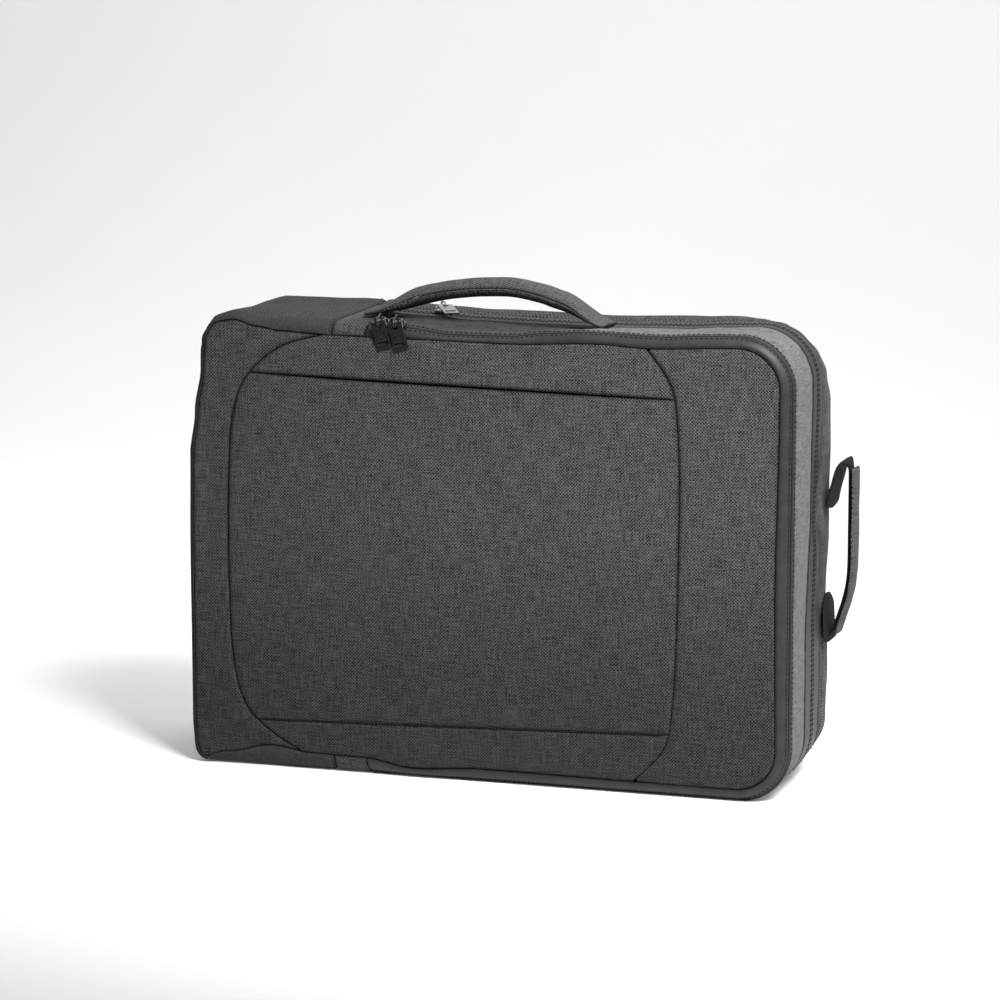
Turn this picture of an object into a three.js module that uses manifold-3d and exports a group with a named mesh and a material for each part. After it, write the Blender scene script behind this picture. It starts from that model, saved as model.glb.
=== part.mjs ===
// A convertible laptop backpack, standing on its long side as a briefcase.
// Millimetres. X runs along the bag, Y from the front to the back, Z is up.
// The origin is under the middle of the whole bag, on the floor.

import * as THREE from 'three';
import { mergeVertices } from 'three/addons/utils/BufferGeometryUtils.js';
import Module from 'manifold-3d';

const wasm = await Module();
wasm.setup();

// Size of the bag's body
const BODY_WIDTH = 420;
const BODY_DEPTH = 120;
const BODY_HEIGHT = 310;

// Corner radii of its outline, seen from the front
const TOP_LEFT_RADIUS = 24;
const BOTTOM_LEFT_RADIUS = 12;
const RIGHT_CORNER_RADIUS = 36;

// The edges between front, sides and back
const FRONT_EDGE = 11;
const BACK_EDGE = 10;
const BACK_PANEL_EASE = 0.12;
const FRONT_BULGE = 5;
const BACK_BULGE = 3;

// Cloth and seams
const CLOTH_WALL = 3;
const TAPE_WALL = 1.6;
const SEAM_GAP = 0.35;
const SEAM_DEPTH = 1.8;
const SEAM_REACH = 5;
const TAPE_SEAM_DEPTH = 0.7;
const TAPE_SEAM_REACH = 1.6;
const SAG = 5;

// Zips
const ZIP_START = 126;
const BASE_WRAP = 103;
const FRONT_COIL = 0.7;
const REAR_COIL = 0.5;
const ZIP_END_SLANT = 3;

// Pocket
const MOUTH_GAP = 1.8;
const MOUTH_FLAP = 22;
const FLAP_CLEARANCE = 0.7;
const WING_TIP = 3;
const BLUNT_SHARE = 0.08;
const ROW_SPACING = 0.006;
const TINY_SHARE = 1e-6;

// Top handle
const TOP_HANDLE_START = 118;
const TOP_HANDLE_SPAN = 166;
const TOP_HANDLE_RISE = 15;
const TOP_HANDLE_WIDTH = 23;
const TOP_HANDLE_END_WIDTH = 38;
const TOP_HANDLE_THICKNESS = 12.5;
const TOP_HANDLE_END_THICKNESS = 4;
const TOP_HANDLE_SETBACK = 43;
const TOP_HANDLE_FLARE = 0.2;
const TOP_HANDLE_STEPS = 18;
const HALF_OVAL_STEPS = 7;
const OVAL_POWER = 0.8;
const HANDLE_SEAT = 0.6;

// Side handle
const SIDE_STRAP_WIDTH = 27;
const SIDE_GRIP_WIDTH = 19;
const SIDE_NARROWING = 0.09;
const SIDE_STRAP_WALL = 1.8;
const SIDE_COVER_WALL = 1.6;
const SIDE_STANDOFF = 14.3;
const SIDE_HANDLE_TOP = 215;
const SIDE_HANDLE_BOTTOM = 93;
const SIDE_STRAP_SETBACK = 107.5;
const SIDE_COVER_FROM = 0.339;
const SIDE_COVER_TO = 0.75;

// Zip sliders, their wire loops and pulls
const SLIDER_LENGTH = 11;
const SLIDER_WIDTH = 8;
const SLIDER_HEIGHT = 2.6;
const SLIDER_SPACING = 0.6;
const BRIDGE_WIDTH = 2.2;
const BRIDGE_WALL = 1.2;
const BRIDGE_RISE = 4;
const LOOP_WIRE = 1.3;
const LOOP_WIDTH = 4.6;
const LOOP_LENGTH = 10.5;
const PULL_LENGTH = 19;
const PULL_WIDTH = 9;
const PULL_THICKNESS = 1.5;
const PULL_EYE = 3.4;
const PULL_RIM = 1.3;
const PULL_WINDOW = 3.2;
const PULL_WINDOW_HEIGHT = 0.27;
const METAL_GAP = 0.3;
const WIRE_SIDES = 6;
const LOOP_ARC_STEPS = 6;
const REAR_SLIDER_PLACE = 157;
const REAR_LOOP_TURN = 0.6;
const REAR_PULL_TIP = 0.2;
const FRONT_PULL_TIP = 1.1;
const FRONT_PULL_LEAN = 0.28;

// A side of the outline holds the half corners at its two ends.
const HALF_CORNER = Math.PI / 4;
const SIDES = [
  { normal: [0, 1], run: [1, 0], first: TOP_LEFT_RADIUS, last: RIGHT_CORNER_RADIUS, full: BODY_WIDTH },
  { normal: [1, 0], run: [0, -1], first: RIGHT_CORNER_RADIUS, last: RIGHT_CORNER_RADIUS, full: BODY_HEIGHT },
  { normal: [0, -1], run: [-1, 0], first: RIGHT_CORNER_RADIUS, last: BOTTOM_LEFT_RADIUS, full: BODY_WIDTH },
  { normal: [-1, 0], run: [0, 1], first: BOTTOM_LEFT_RADIUS, last: TOP_LEFT_RADIUS, full: BODY_HEIGHT },
];
const [TOP, RIGHT, BOTTOM, LEFT] = [0, 1, 2, 3];

// Where the seam round the front panel lies: its inset from the outline, as a share of FRONT_EDGE.
// Places on the outline are counted from 0 at the top left corner, one unit a side, clockwise.
const FRONT_SEAM = [
  { at: 0, inset: 0.8 },
  { at: 0.07, inset: 0.14 },
  { at: 0.105, inset: 0.5 },
  { at: 0.15, inset: 0.73 },
  { at: 0.24, inset: 0.9 },
  { at: 0.39, inset: 0.95 },
  { at: 0.55, inset: 1 },
  { at: 0.69, inset: 0.8 },
  { at: 0.78, inset: 0.95 },
  { at: 0.93, inset: 0.75 },
  { at: 1.2, inset: 0.8 },
  { at: 1.5, inset: 0.93 },
  { at: 2.07, inset: 0.78 },
  { at: 2.23, inset: 0.8 },
  { at: 2.5, inset: 0.87 },
  { at: 2.62, inset: 0.6 },
  { at: 2.7, inset: 1.05 },
  { at: 2.8, inset: 1.12 },
  { at: 2.865, inset: 1.45 },
  { at: 2.95, inset: 0.8 },
  { at: 3, inset: 0.35 },
  { at: 3.5, inset: 0.3 },
  { at: 3.7, inset: 0.4 },
  { at: 3.8, inset: 0.7 },
  { at: 3.9, inset: 0.9 },
  { at: 4, inset: 0.8 },
];

// How far the sides sink in, as shares of SAG, at the front edge, mid depth and back edge.
const SAGS = [
  { at: 0, front: 1, middle: 0.7, back: 0.4 },
  { at: 0.07, front: -0.1, middle: -0.2, back: -0.5 },
  { at: 0.12, front: 0, middle: -0.2, back: -0.6 },
  { at: 0.26, front: 0.1, middle: -0.1, back: -0.75 },
  { at: 0.36, front: 0.45, middle: 0.3, back: -0.2 },
  { at: 0.44, front: 1.35, middle: 0.65, back: 0.1 },
  { at: 0.54, front: 1.25, middle: 0.8, back: 0.2 },
  { at: 0.61, front: 0.45, middle: 0.8, back: 0.3 },
  { at: 0.67, front: 0, middle: 0.9, back: 0.3 },
  { at: 0.8, front: 0.35, middle: 0.7, back: 0.1 },
  { at: 0.87, front: 0.1, middle: 0.3, back: 0.05 },
  { at: 0.9, front: 0, middle: 0.2, back: 0.3 },
  { at: 0.93, front: 0, middle: 0.1, back: 0.85 },
  { at: 0.965, front: 0, middle: 0.1, back: 1.45 },
  { at: 1, front: 0, middle: 0.1, back: 1.8 },
  { at: 1.05, front: 0, middle: 0.1, back: 1.4 },
  { at: 1.1, front: 0, middle: 0, back: 0.7 },
  { at: 1.16, front: 0, middle: 0, back: 0 },
  { at: 1.3, front: 0, middle: 0, back: -0.25 },
  { at: 1.45, front: 0, middle: 0, back: -0.15 },
  { at: 1.6, front: 0, middle: 0.1, back: 0.3 },
  { at: 1.8, front: 0, middle: 0, back: -0.15 },
  { at: 1.9, front: 0, middle: 0, back: 0.2 },
  { at: 2, front: 0, middle: 0, back: 0.8 },
  { at: 2.1, front: 0, middle: 0, back: 0 },
  { at: 3, front: 0, middle: 0, back: 0 },
  { at: 3.5, front: 0, middle: -0.25, back: 0 },
  { at: 3.7, front: 0.1, middle: -0.1, back: 0 },
  { at: 3.8, front: 0.65, middle: 0.4, back: 0.2 },
  { at: 3.9, front: 1.2, middle: 0.8, back: 0.4 },
  { at: 4, front: 1, middle: 0.7, back: 0.4 },
];

// Seams across the depth: before and after the rear zip, as shares of BODY_DEPTH from the middle.
const DEPTH_SEAMS = [
  { at: 0, before: 0, after: 0.22 },
  { at: 1.15, before: 0, after: 0.24 },
  { at: 1.28, before: -0.015, after: 0.18 },
  { at: 1.4, before: -0.02, after: 0.09 },
  { at: 1.5, before: -0.05, after: 0.22 },
  { at: 1.7, before: -0.1, after: 0.23 },
  { at: 2.1, before: -0.1, after: 0.2 },
  { at: 3, before: -0.1, after: 0.2 },
  { at: 4, before: 0, after: 0.22 },
];

// The curved seams between wings and middle, from top to bottom, as shares of width and height.
const LEFT_WING_SEAM = [
  { across: -0.27, up: 0.968 },
  { across: -0.343, up: 0.938 },
  { across: -0.402, up: 0.87 },
  { across: -0.425, up: 0.79 },
  { across: -0.434, up: 0.64 },
  { across: -0.435, up: 0.44 },
  { across: -0.426, up: 0.22 },
  { across: -0.406, up: 0.137 },
  { across: -0.37, up: 0.09 },
  { across: -0.31, up: 0.045 },
];
const RIGHT_WING_SEAM = [
  { across: 0.264, up: 0.968 },
  { across: 0.2917, up: 0.922 },
  { across: 0.31, up: 0.877 },
  { across: 0.3171, up: 0.818 },
  { across: 0.3221, up: 0.69 },
  { across: 0.3214, up: 0.52 },
  { across: 0.3193, up: 0.345 },
  { across: 0.3129, up: 0.193 },
  { across: 0.3026, up: 0.115 },
  { across: 0.2864, up: 0.081 },
  { across: 0.2474, up: 0.03 },
];

// The top handle's middle line: along as a share of its span, rise as a share of its rise.
const TOP_HANDLE_ROWS = [
  { along: 0, rise: 0 },
  { along: 0.05, rise: 0.1 },
  { along: 0.142, rise: 0.29 },
  { along: 0.25, rise: 0.6 },
  { along: 0.357, rise: 0.83 },
  { along: 0.48, rise: 0.97 },
  { along: 0.59, rise: 1 },
  { along: 0.72, rise: 0.77 },
  { along: 0.8, rise: 0.5 },
  { along: 0.884, rise: 0.3 },
  { along: 0.947, rise: 0.14 },
  { along: 1, rise: 0 },
];

// The side handle's line: out as a share of its standoff, up as a share of its height.
const SIDE_HANDLE_ROWS = [
  { out: 0, up: 0.738 },
  { out: 0.06, up: 0.762 },
  { out: 0.28, up: 0.836 },
  { out: 0.45, up: 0.889 },
  { out: 0.52, up: 0.934 },
  { out: 0.58, up: 0.968 },
  { out: 0.73, up: 1 },
  { out: 0.9, up: 0.985 },
  { out: 0.99, up: 0.947 },
  { out: 1, up: 0.88 },
  { out: 1, up: 0.74 },
  { out: 1, up: 0.6 },
  { out: 1, up: 0.45 },
  { out: 0.97, up: 0.36 },
  { out: 0.88, up: 0.28 },
  { out: 0.74, up: 0.21 },
  { out: 0.52, up: 0.125 },
  { out: 0.34, up: 0.06 },
  { out: 0.22, up: 0.02 },
  { out: 0.12, up: 0 },
  { out: 0.05, up: 0.03 },
  { out: 0.03, up: 0.1 },
  { out: 0.02, up: 0.17 },
  { out: 0, up: 0.25 },
];

// Heights of the pocket's two long seams, as shares of BODY_HEIGHT, at its left and right ends.
const POCKET_TOP = { left: 0.881, right: 0.8605 };
const POCKET_BOTTOM = { left: 0.108, right: 0.138 };

// How a padded edge turns in to its seam: place as a share of the reach, drop as a share of the depth.
const PADDED_EDGE = [
  { place: 0, drop: 1 },
  { place: 0.4, drop: 0.35 },
  { place: 1, drop: 0 },
];
const TAPE_EDGE = [
  { place: 0, drop: 1 },
  { place: 1, drop: 0 },
];

const WOVEN = { color: 0x4a4a4b, roughness: 0.92, metalness: 0 };
const COATED = { color: 0x3a3b3d, roughness: 0.55, metalness: 0 };
const SMOOTH = { color: 0x3c3c3d, roughness: 0.8, metalness: 0 };
const MESH_CLOTH = { color: 0x2b2b2c, roughness: 0.9, metalness: 0 };
const WEBBING = { color: 0x252526, roughness: 0.85, metalness: 0 };
const DARK_METAL = { color: 0x1d1d1f, roughness: 0.35, metalness: 0.8 };
const BRIGHT_METAL = { color: 0x8f9092, roughness: 0.25, metalness: 0.95 };

const bag = new THREE.Group();

function place(name, geometry, look, group = bag) {
  const mesh = new THREE.Mesh(geometry, new THREE.MeshStandardMaterial(look));
  mesh.name = name;
  group.add(mesh);
  return mesh;
}

function lerp(a, b, share) {
  return a + (b - a) * share;
}

function clamp(value, low, high) {
  return Math.min(high, Math.max(low, value));
}

// Reads a column of a table between two rows, with an easy curve from row to row.
function follow(rows, at, column) {
  const last = rows.findIndex((row) => row.at >= at);
  if (last <= 0) return rows[last === 0 ? 0 : rows.length - 1][column];
  const [a, b] = [rows[last - 1], rows[last]];
  const share = (at - a.at) / (b.at - a.at);
  return lerp(a[column], b[column], share * share * (3 - 2 * share));
}

function turned(at) {
  return ((at % 4) + 4) % 4;
}

function straightOf(side) {
  return side.full - side.first - side.last;
}

function lengthOf(side) {
  return straightOf(side) + HALF_CORNER * (side.first + side.last);
}

// The corner of the body's box where a side begins, going clockwise.
function sideStart(index) {
  const x = index === RIGHT || index === BOTTOM ? BODY_WIDTH / 2 : -BODY_WIDTH / 2;
  const z = index === TOP || index === RIGHT ? BODY_HEIGHT : 0;
  return [x, z];
}

// A point of the outline, moved in by inset, with its outward direction.
function outline(at, inset = 0) {
  const turn = turned(at);
  const index = Math.floor(turn);
  const side = SIDES[index];
  const [startX, startZ] = sideStart(index);
  const along = (turn - index) * lengthOf(side);
  const firstArc = HALF_CORNER * side.first;
  const lastArc = HALF_CORNER * side.last;
  const straight = clamp(along - firstArc, 0, straightOf(side));
  const before = Math.min(0, along - firstArc) / firstArc;
  const after = Math.max(0, along - firstArc - straightOf(side)) / lastArc;
  const radius = before < 0 ? side.first : side.last;
  const angle = HALF_CORNER * (before + after);
  const out = [0, 1].map((i) => side.normal[i] * Math.cos(angle) + side.run[i] * Math.sin(angle));
  const centre = [startX, startZ].map(
    (start, i) => start + side.run[i] * (side.first + straight) - side.normal[i] * radius,
  );
  return {
    x: centre[0] + out[0] * (radius - inset),
    z: centre[1] + out[1] * (radius - inset),
    out,
  };
}

// The share of a side at a distance from the corner of the body's box where it begins.
function outlineShare(side, distance) {
  return (distance - side.first + HALF_CORNER * side.first) / lengthOf(side);
}

// The place on the top or bottom outline at a given x.
function atTop(x) {
  return TOP + outlineShare(SIDES[TOP], x + BODY_WIDTH / 2);
}

function atBottom(x) {
  return BOTTOM + outlineShare(SIDES[BOTTOM], BODY_WIDTH / 2 - x);
}

function sag(at, y) {
  const turn = turned(at);
  const [front, middle, back] = ['front', 'middle', 'back'].map((column) => follow(SAGS, turn, column));
  const depth = clamp(y / (BODY_DEPTH / 2), -1, 1);
  const share = depth < 0 ? lerp(middle, front, depth * depth) : lerp(middle, back, depth * depth);
  return SAG * share;
}

// The inset of the back panel's edge, which moves in where the back edge sinks.
function backRim(at) {
  return BACK_EDGE + Math.max(0, sag(at, BODY_DEPTH / 2));
}

// A point of the body's side. Cross runs 0 to 1 round the front edge, 1 to 2 over the side
// and 2 to 3 round the back edge.
function hullPoint(at, cross) {
  const edgeAngle = (cross <= 1 ? 1 - cross : Math.max(0, cross - 2)) * (Math.PI / 2);
  const flatFront = FRONT_EDGE - BODY_DEPTH / 2;
  const flatBack = BODY_DEPTH / 2 - BACK_EDGE;
  let y = lerp(flatFront, flatBack, clamp(cross - 1, 0, 1));
  let rim = 0;
  if (cross < 1) {
    y = flatFront - FRONT_EDGE * Math.sin(edgeAngle);
    rim = FRONT_EDGE * follow(FRONT_SEAM, turned(at), 'inset');
  } else if (cross > 2) {
    y = flatBack + BACK_EDGE * Math.sin(edgeAngle);
    rim = backRim(at);
  }
  const point = outline(at, lerp(sag(at, y), rim, 1 - Math.cos(edgeAngle)));
  return new THREE.Vector3(point.x, y, point.z);
}

// Straight out from the side, turning towards the front or the back on the rounded edges.
function hullNormal(at, cross) {
  const angle = (cross - clamp(cross, 1, 2)) * (Math.PI / 2);
  const { out } = outline(at);
  return new THREE.Vector3(out[0] * Math.cos(angle), Math.sin(angle), out[1] * Math.cos(angle));
}

// The cross value of a depth between the two rounded edges.
function crossAt(y) {
  return 1 + (y + BODY_DEPTH / 2 - FRONT_EDGE) / (BODY_DEPTH - FRONT_EDGE - BACK_EDGE);
}

// Places over a width, in shares: the turned-in edges close together, the rest even.
function spread(width, { reach, edge, cells, gap }) {
  const used = Math.min(reach, width / 3);
  const left = edge.map((row) => ({ share: (gap + row.place * used) / width, drop: row.drop }));
  const right = left.map((row) => ({ share: 1 - row.share, drop: row.drop })).reverse();
  const first = left[left.length - 1].share;
  const inner = [];
  for (let i = 1; i < cells; i += 1) inner.push({ share: lerp(first, 1 - first, i / cells), drop: 0 });
  return [...left, ...inner, ...right];
}

function solidFrom(positions, triangles) {
  const geometry = new THREE.BufferGeometry();
  geometry.setAttribute('position', new THREE.Float32BufferAttribute(positions, 3));
  geometry.setIndex(triangles);
  return geometry;
}

// A cloth wall over a grid of surface points: outer face, inner face and the rim between them.
function wallFrom(grid, wallOf) {
  const rows = grid.length;
  const columns = grid[0].length;
  const positions = [];
  for (const depth of [0, 1]) {
    for (const row of grid) {
      for (const { point, normal } of row) {
        const moved = point.clone().addScaledVector(normal, -depth * wallOf);
        positions.push(moved.x, moved.y, moved.z);
      }
    }
  }
  const triangles = [];
  const outer = (i, j) => i * columns + j;
  const inner = (i, j) => rows * columns + outer(i, j);
  const quad = (a, b, c, d) => triangles.push(a, b, c, a, c, d);
  for (let i = 0; i + 1 < rows; i += 1) {
    for (let j = 0; j + 1 < columns; j += 1) {
      quad(outer(i, j), outer(i, j + 1), outer(i + 1, j + 1), outer(i + 1, j));
      quad(inner(i, j), inner(i + 1, j), inner(i + 1, j + 1), inner(i, j + 1));
    }
  }
  for (let j = 0; j + 1 < columns; j += 1) {
    quad(outer(0, j + 1), outer(0, j), inner(0, j), inner(0, j + 1));
    quad(outer(rows - 1, j), outer(rows - 1, j + 1), inner(rows - 1, j + 1), inner(rows - 1, j));
  }
  for (let i = 0; i + 1 < rows; i += 1) {
    quad(outer(i, 0), outer(i + 1, 0), inner(i + 1, 0), inner(i, 0));
    quad(outer(i + 1, columns - 1), outer(i, columns - 1), inner(i, columns - 1), inner(i + 1, columns - 1));
  }
  return facingOut(solidFrom(positions, triangles));
}

function signedVolume(geometry) {
  const position = geometry.attributes.position;
  const index = geometry.index;
  const [a, b, c] = [new THREE.Vector3(), new THREE.Vector3(), new THREE.Vector3()];
  let volume = 0;
  for (let i = 0; i < index.count; i += 3) {
    a.fromBufferAttribute(position, index.getX(i));
    b.fromBufferAttribute(position, index.getX(i + 1));
    c.fromBufferAttribute(position, index.getX(i + 2));
    volume += a.dot(b.cross(c)) / 6;
  }
  return volume;
}

function facingOut(geometry) {
  if (signedVolume(geometry) > 0) return geometry;
  const index = geometry.index;
  for (let i = 0; i < index.count; i += 3) {
    const second = index.getX(i + 1);
    index.setX(i + 1, index.getX(i + 2));
    index.setX(i + 2, second);
  }
  return geometry;
}

// Places on the outline where every strip and panel has a row, so that neighbours share their facets.
const LEFT_TIP = LEFT_WING_SEAM[0].across * BODY_WIDTH;
const RIGHT_TIP = RIGHT_WING_SEAM[0].across * BODY_WIDTH;
const LEFT_TOE = LEFT_WING_SEAM.at(-1).across * BODY_WIDTH;
const RIGHT_TOE = RIGHT_WING_SEAM.at(-1).across * BODY_WIDTH;
const ZIP_START_X = ZIP_START - BODY_WIDTH / 2;
const BASE_EDGE_X = BASE_WRAP - BODY_WIDTH / 2;

function stationList() {
  const steps = [
    { straight: 10, first: 2, last: 3 },
    { straight: 8, first: 3, last: 3 },
    { straight: 7, first: 3, last: 2 },
    { straight: 6, first: 2, last: 2 },
  ];
  const list = [];
  SIDES.forEach((side, index) => {
    const whole = lengthOf(side);
    const first = (HALF_CORNER * side.first) / whole;
    const last = 1 - (HALF_CORNER * side.last) / whole;
    const { straight, first: early, last: late } = steps[index];
    for (let i = 0; i < early; i += 1) list.push(index + (first * i) / early);
    for (let i = 0; i < straight; i += 1) list.push(index + lerp(first, last, i / straight));
    for (let i = 0; i < late; i += 1) list.push(index + lerp(last, 1, i / late));
  });
  const onTop = [LEFT_TIP, RIGHT_TIP, ZIP_START_X, BASE_EDGE_X].map(atTop);
  const onBottom = [LEFT_TOE, RIGHT_TOE, ZIP_START_X, BASE_EDGE_X].map(atBottom);
  list.push(4, ...onTop, ...onBottom);
  return list.sort((a, b) => a - b);
}
const STATIONS = stationList();

// The stations from one place to another, clockwise, with both ends. None lies close to an end.
function between(from, to) {
  const all = [...STATIONS, ...STATIONS.map((at) => at + 4)];
  const inside = all.filter((at) => at > from + ROW_SPACING && at < to - ROW_SPACING);
  const apart = inside.filter((at, i) => i === 0 || at - inside[i - 1] > TINY_SHARE);
  return [from, ...apart, to];
}

function crossLength(at, near, far) {
  const steps = 8;
  let length = 0;
  for (let i = 0; i < steps; i += 1) {
    const a = hullPoint(at, lerp(near, far, i / steps));
    length += a.distanceTo(hullPoint(at, lerp(near, far, (i + 1) / steps)));
  }
  return length;
}

// A strip of cloth that follows the outline. Its two long edges are cross values that may change
// along it, and its two ends are places that may change across it.
function strip({ from, to, near, far, inner = [], wall, depth, ...edge }) {
  const stations = between(from(1), to(1));
  const grid = stations.map((station, i) => {
    const first = i === 0;
    const last = i === stations.length - 1;
    const width = crossLength(station, near(station), far(station));
    const places = spread(width, { gap: SEAM_GAP / 2, ...edge });
    const shares = inner.map((cross) => (cross - near(station)) / (far(station) - near(station)));
    const all = [...places, ...shares.map((share) => ({ share, drop: 0 }))];
    all.sort((a, b) => a.share - b.share);
    return all.map(({ share, drop }) => {
      const cross = lerp(near(station), far(station), share);
      let at = station;
      if (first) at = from(cross);
      if (last) at = to(cross);
      const normal = hullNormal(at, cross);
      const sunk = Math.max(drop, first || last ? 1 : 0) * depth;
      return { point: hullPoint(at, cross).addScaledVector(normal, -sunk), normal };
    });
  });
  return wallFrom(grid, wall);
}

const PADDED = { wall: CLOTH_WALL, depth: SEAM_DEPTH, reach: SEAM_REACH, edge: PADDED_EDGE };
const TAPE = { wall: TAPE_WALL, depth: TAPE_SEAM_DEPTH, reach: TAPE_SEAM_REACH, edge: TAPE_EDGE };
const ZIP_END = { ...PADDED, wall: TAPE_WALL, depth: TAPE_SEAM_DEPTH };

function depthSeam(column) {
  return (at) => crossAt(BODY_DEPTH * follow(DEPTH_SEAMS, turned(at), column));
}
const beforeRearZip = depthSeam('before');
const afterRearZip = depthSeam('after');
const alongRearCoil = (at) => lerp(beforeRearZip(at), afterRearZip(at), REAR_COIL);
const constant = (value) => () => value;

// The ends of a strip lie half a seam gap from the seam they share.
function gapOn(index) {
  return SEAM_GAP / 2 / lengthOf(SIDES[index]);
}

// The zips start a little later at the front than at the back of their strips.
function zipStart(side, cross) {
  const x = ZIP_START_X + ZIP_END_SLANT * (cross - Math.floor(cross));
  return side === TOP ? atTop(x) : atBottom(x);
}
const baseSeamTop = atTop(BASE_EDGE_X);
const baseSeamBottom = atBottom(BASE_EDGE_X);

function zipTape(near, far, inner = []) {
  return strip({
    from: (cross) => zipStart(TOP, cross) + gapOn(TOP),
    to: (cross) => zipStart(BOTTOM, cross) - gapOn(BOTTOM),
    near,
    far,
    inner,
    cells: 1,
    ...TAPE,
  });
}

function zipEndTop(near, far) {
  return strip({
    from: constant(baseSeamTop + gapOn(TOP)),
    to: (cross) => zipStart(TOP, cross) - gapOn(TOP),
    near,
    far,
    cells: 1,
    ...ZIP_END,
  });
}

function zipEndBottom(near, far) {
  return strip({
    from: (cross) => zipStart(BOTTOM, cross) + gapOn(BOTTOM),
    to: constant(baseSeamBottom - gapOn(BOTTOM)),
    near,
    far,
    cells: 1,
    ...ZIP_END,
  });
}

function gusset(near, far, inner) {
  return strip({
    from: constant(baseSeamTop + gapOn(TOP)),
    to: constant(baseSeamBottom - gapOn(BOTTOM)),
    near,
    far,
    inner,
    cells: 1,
    ...PADDED,
  });
}

function basePanel() {
  return strip({
    from: constant(baseSeamBottom + gapOn(BOTTOM)),
    to: constant(4 + baseSeamTop - gapOn(TOP)),
    near: constant(0),
    far: constant(3),
    inner: [0.6, 1, 1.33, 1.67, 2, 2.4],
    cells: 1,
    ...PADDED,
  });
}

// The front face bulges a little between its seams.
function frontPoint(x, z) {
  const u = clamp(x / (BODY_WIDTH / 2 - FRONT_EDGE), -1, 1);
  const v = clamp((z - BODY_HEIGHT / 2) / (BODY_HEIGHT / 2 - FRONT_EDGE), -1, 1);
  const bulge = FRONT_BULGE * (1 - u ** 4) * (1 - v ** 4);
  return new THREE.Vector3(x, -BODY_DEPTH / 2 - bulge, z);
}

// A smooth seam line through the rows of a table. Share 0 is its top end.
function seamLine(rows) {
  const points = rows.map((row) => new THREE.Vector3(row.across * BODY_WIDTH, 0, row.up * BODY_HEIGHT));
  return new THREE.CatmullRomCurve3(points, false, 'centripetal');
}
const leftSeam = seamLine(LEFT_WING_SEAM);
const rightSeam = seamLine(RIGHT_WING_SEAM);

// The share of a seam line at which it reaches a height.
function shareAtHeight(line, height) {
  let [low, high] = [0, 1];
  for (let i = 0; i < 30; i += 1) {
    const middle = (low + high) / 2;
    if (line.getPointAt(middle).z > height) low = middle;
    else high = middle;
  }
  return low;
}

function pocketShares(edge) {
  return {
    left: shareAtHeight(leftSeam, edge.left * BODY_HEIGHT),
    right: shareAtHeight(rightSeam, edge.right * BODY_HEIGHT),
  };
}
const MOUTH = pocketShares(POCKET_TOP);
const FOOT = pocketShares(POCKET_BOTTOM);

const FORWARD = new THREE.Vector3(0, -1, 0);
const BACKWARD = new THREE.Vector3(0, 1, 0);

function frontSeamPoint(at) {
  const point = outline(at, FRONT_EDGE * follow(FRONT_SEAM, turned(at), 'inset'));
  return new THREE.Vector3(point.x, 0, point.z);
}

// A border that keeps to a seam line, but starts and ends on the seam round the front.
function borderOf(line, top, bottom) {
  const shiftTop = top.clone().sub(line.getPointAt(0));
  const shiftBottom = bottom.clone().sub(line.getPointAt(1));
  return (share) => {
    const point = line.getPointAt(clamp(share, 0, 1));
    point.addScaledVector(shiftTop, clamp(1 - share / BLUNT_SHARE, 0, 1));
    return point.addScaledVector(shiftBottom, clamp(1 - (1 - share) / BLUNT_SHARE, 0, 1));
  };
}

// The rows of the three middle panels, as shares of their heights.
const BAND_ROWS = paddedPlaces(BODY_HEIGHT * (LEFT_WING_SEAM[0].up - POCKET_TOP.left), 2);
const POCKET_ROWS = paddedPlaces(BODY_HEIGHT * (POCKET_TOP.left - POCKET_BOTTOM.left), 6);

// A border with straight chords between the places where the middle panels have a row.
function chordedBorder(line, tip, toe, [mouth, foot]) {
  const smooth = borderOf(line, frontSeamPoint(atTop(tip)), frontSeamPoint(atBottom(toe)));
  const pieces = [
    [0, mouth, BAND_ROWS],
    [mouth, foot, POCKET_ROWS],
    [foot, 1, BAND_ROWS],
  ];
  const knots = pieces.flatMap(([from, to, rows]) => [from, ...rows.map((row) => lerp(from, to, row.share))]);
  knots.push(1);
  const border = (share) => {
    const next = Math.max(1, knots.findIndex((knot) => knot >= share - TINY_SHARE));
    const [a, b] = [knots[next - 1], knots[next]];
    return smooth(a).lerp(smooth(b), (share - a) / (b - a));
  };
  return { border, knots };
}
const leftSide = chordedBorder(leftSeam, LEFT_TIP, LEFT_TOE, [MOUTH.left, FOOT.left]);
const rightSide = chordedBorder(rightSeam, RIGHT_TIP, RIGHT_TOE, [MOUTH.right, FOOT.right]);
const leftBorder = leftSide.border;
const rightBorder = rightSide.border;

// A point of the seam round the front, on the chord between two stations.
function rimPoint(at) {
  const turn = turned(at);
  const next = STATIONS.findIndex((station) => station > turn);
  const [a, b] = [STATIONS[next - 1], STATIONS[next]];
  return frontSeamPoint(a).lerp(frontSeamPoint(b), (turn - a) / (b - a));
}

function partOf(border, from, to) {
  return (share) => border(lerp(from, to, share));
}

function lineBetween(a, b) {
  return (share) => a.clone().lerp(b, share);
}

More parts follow.
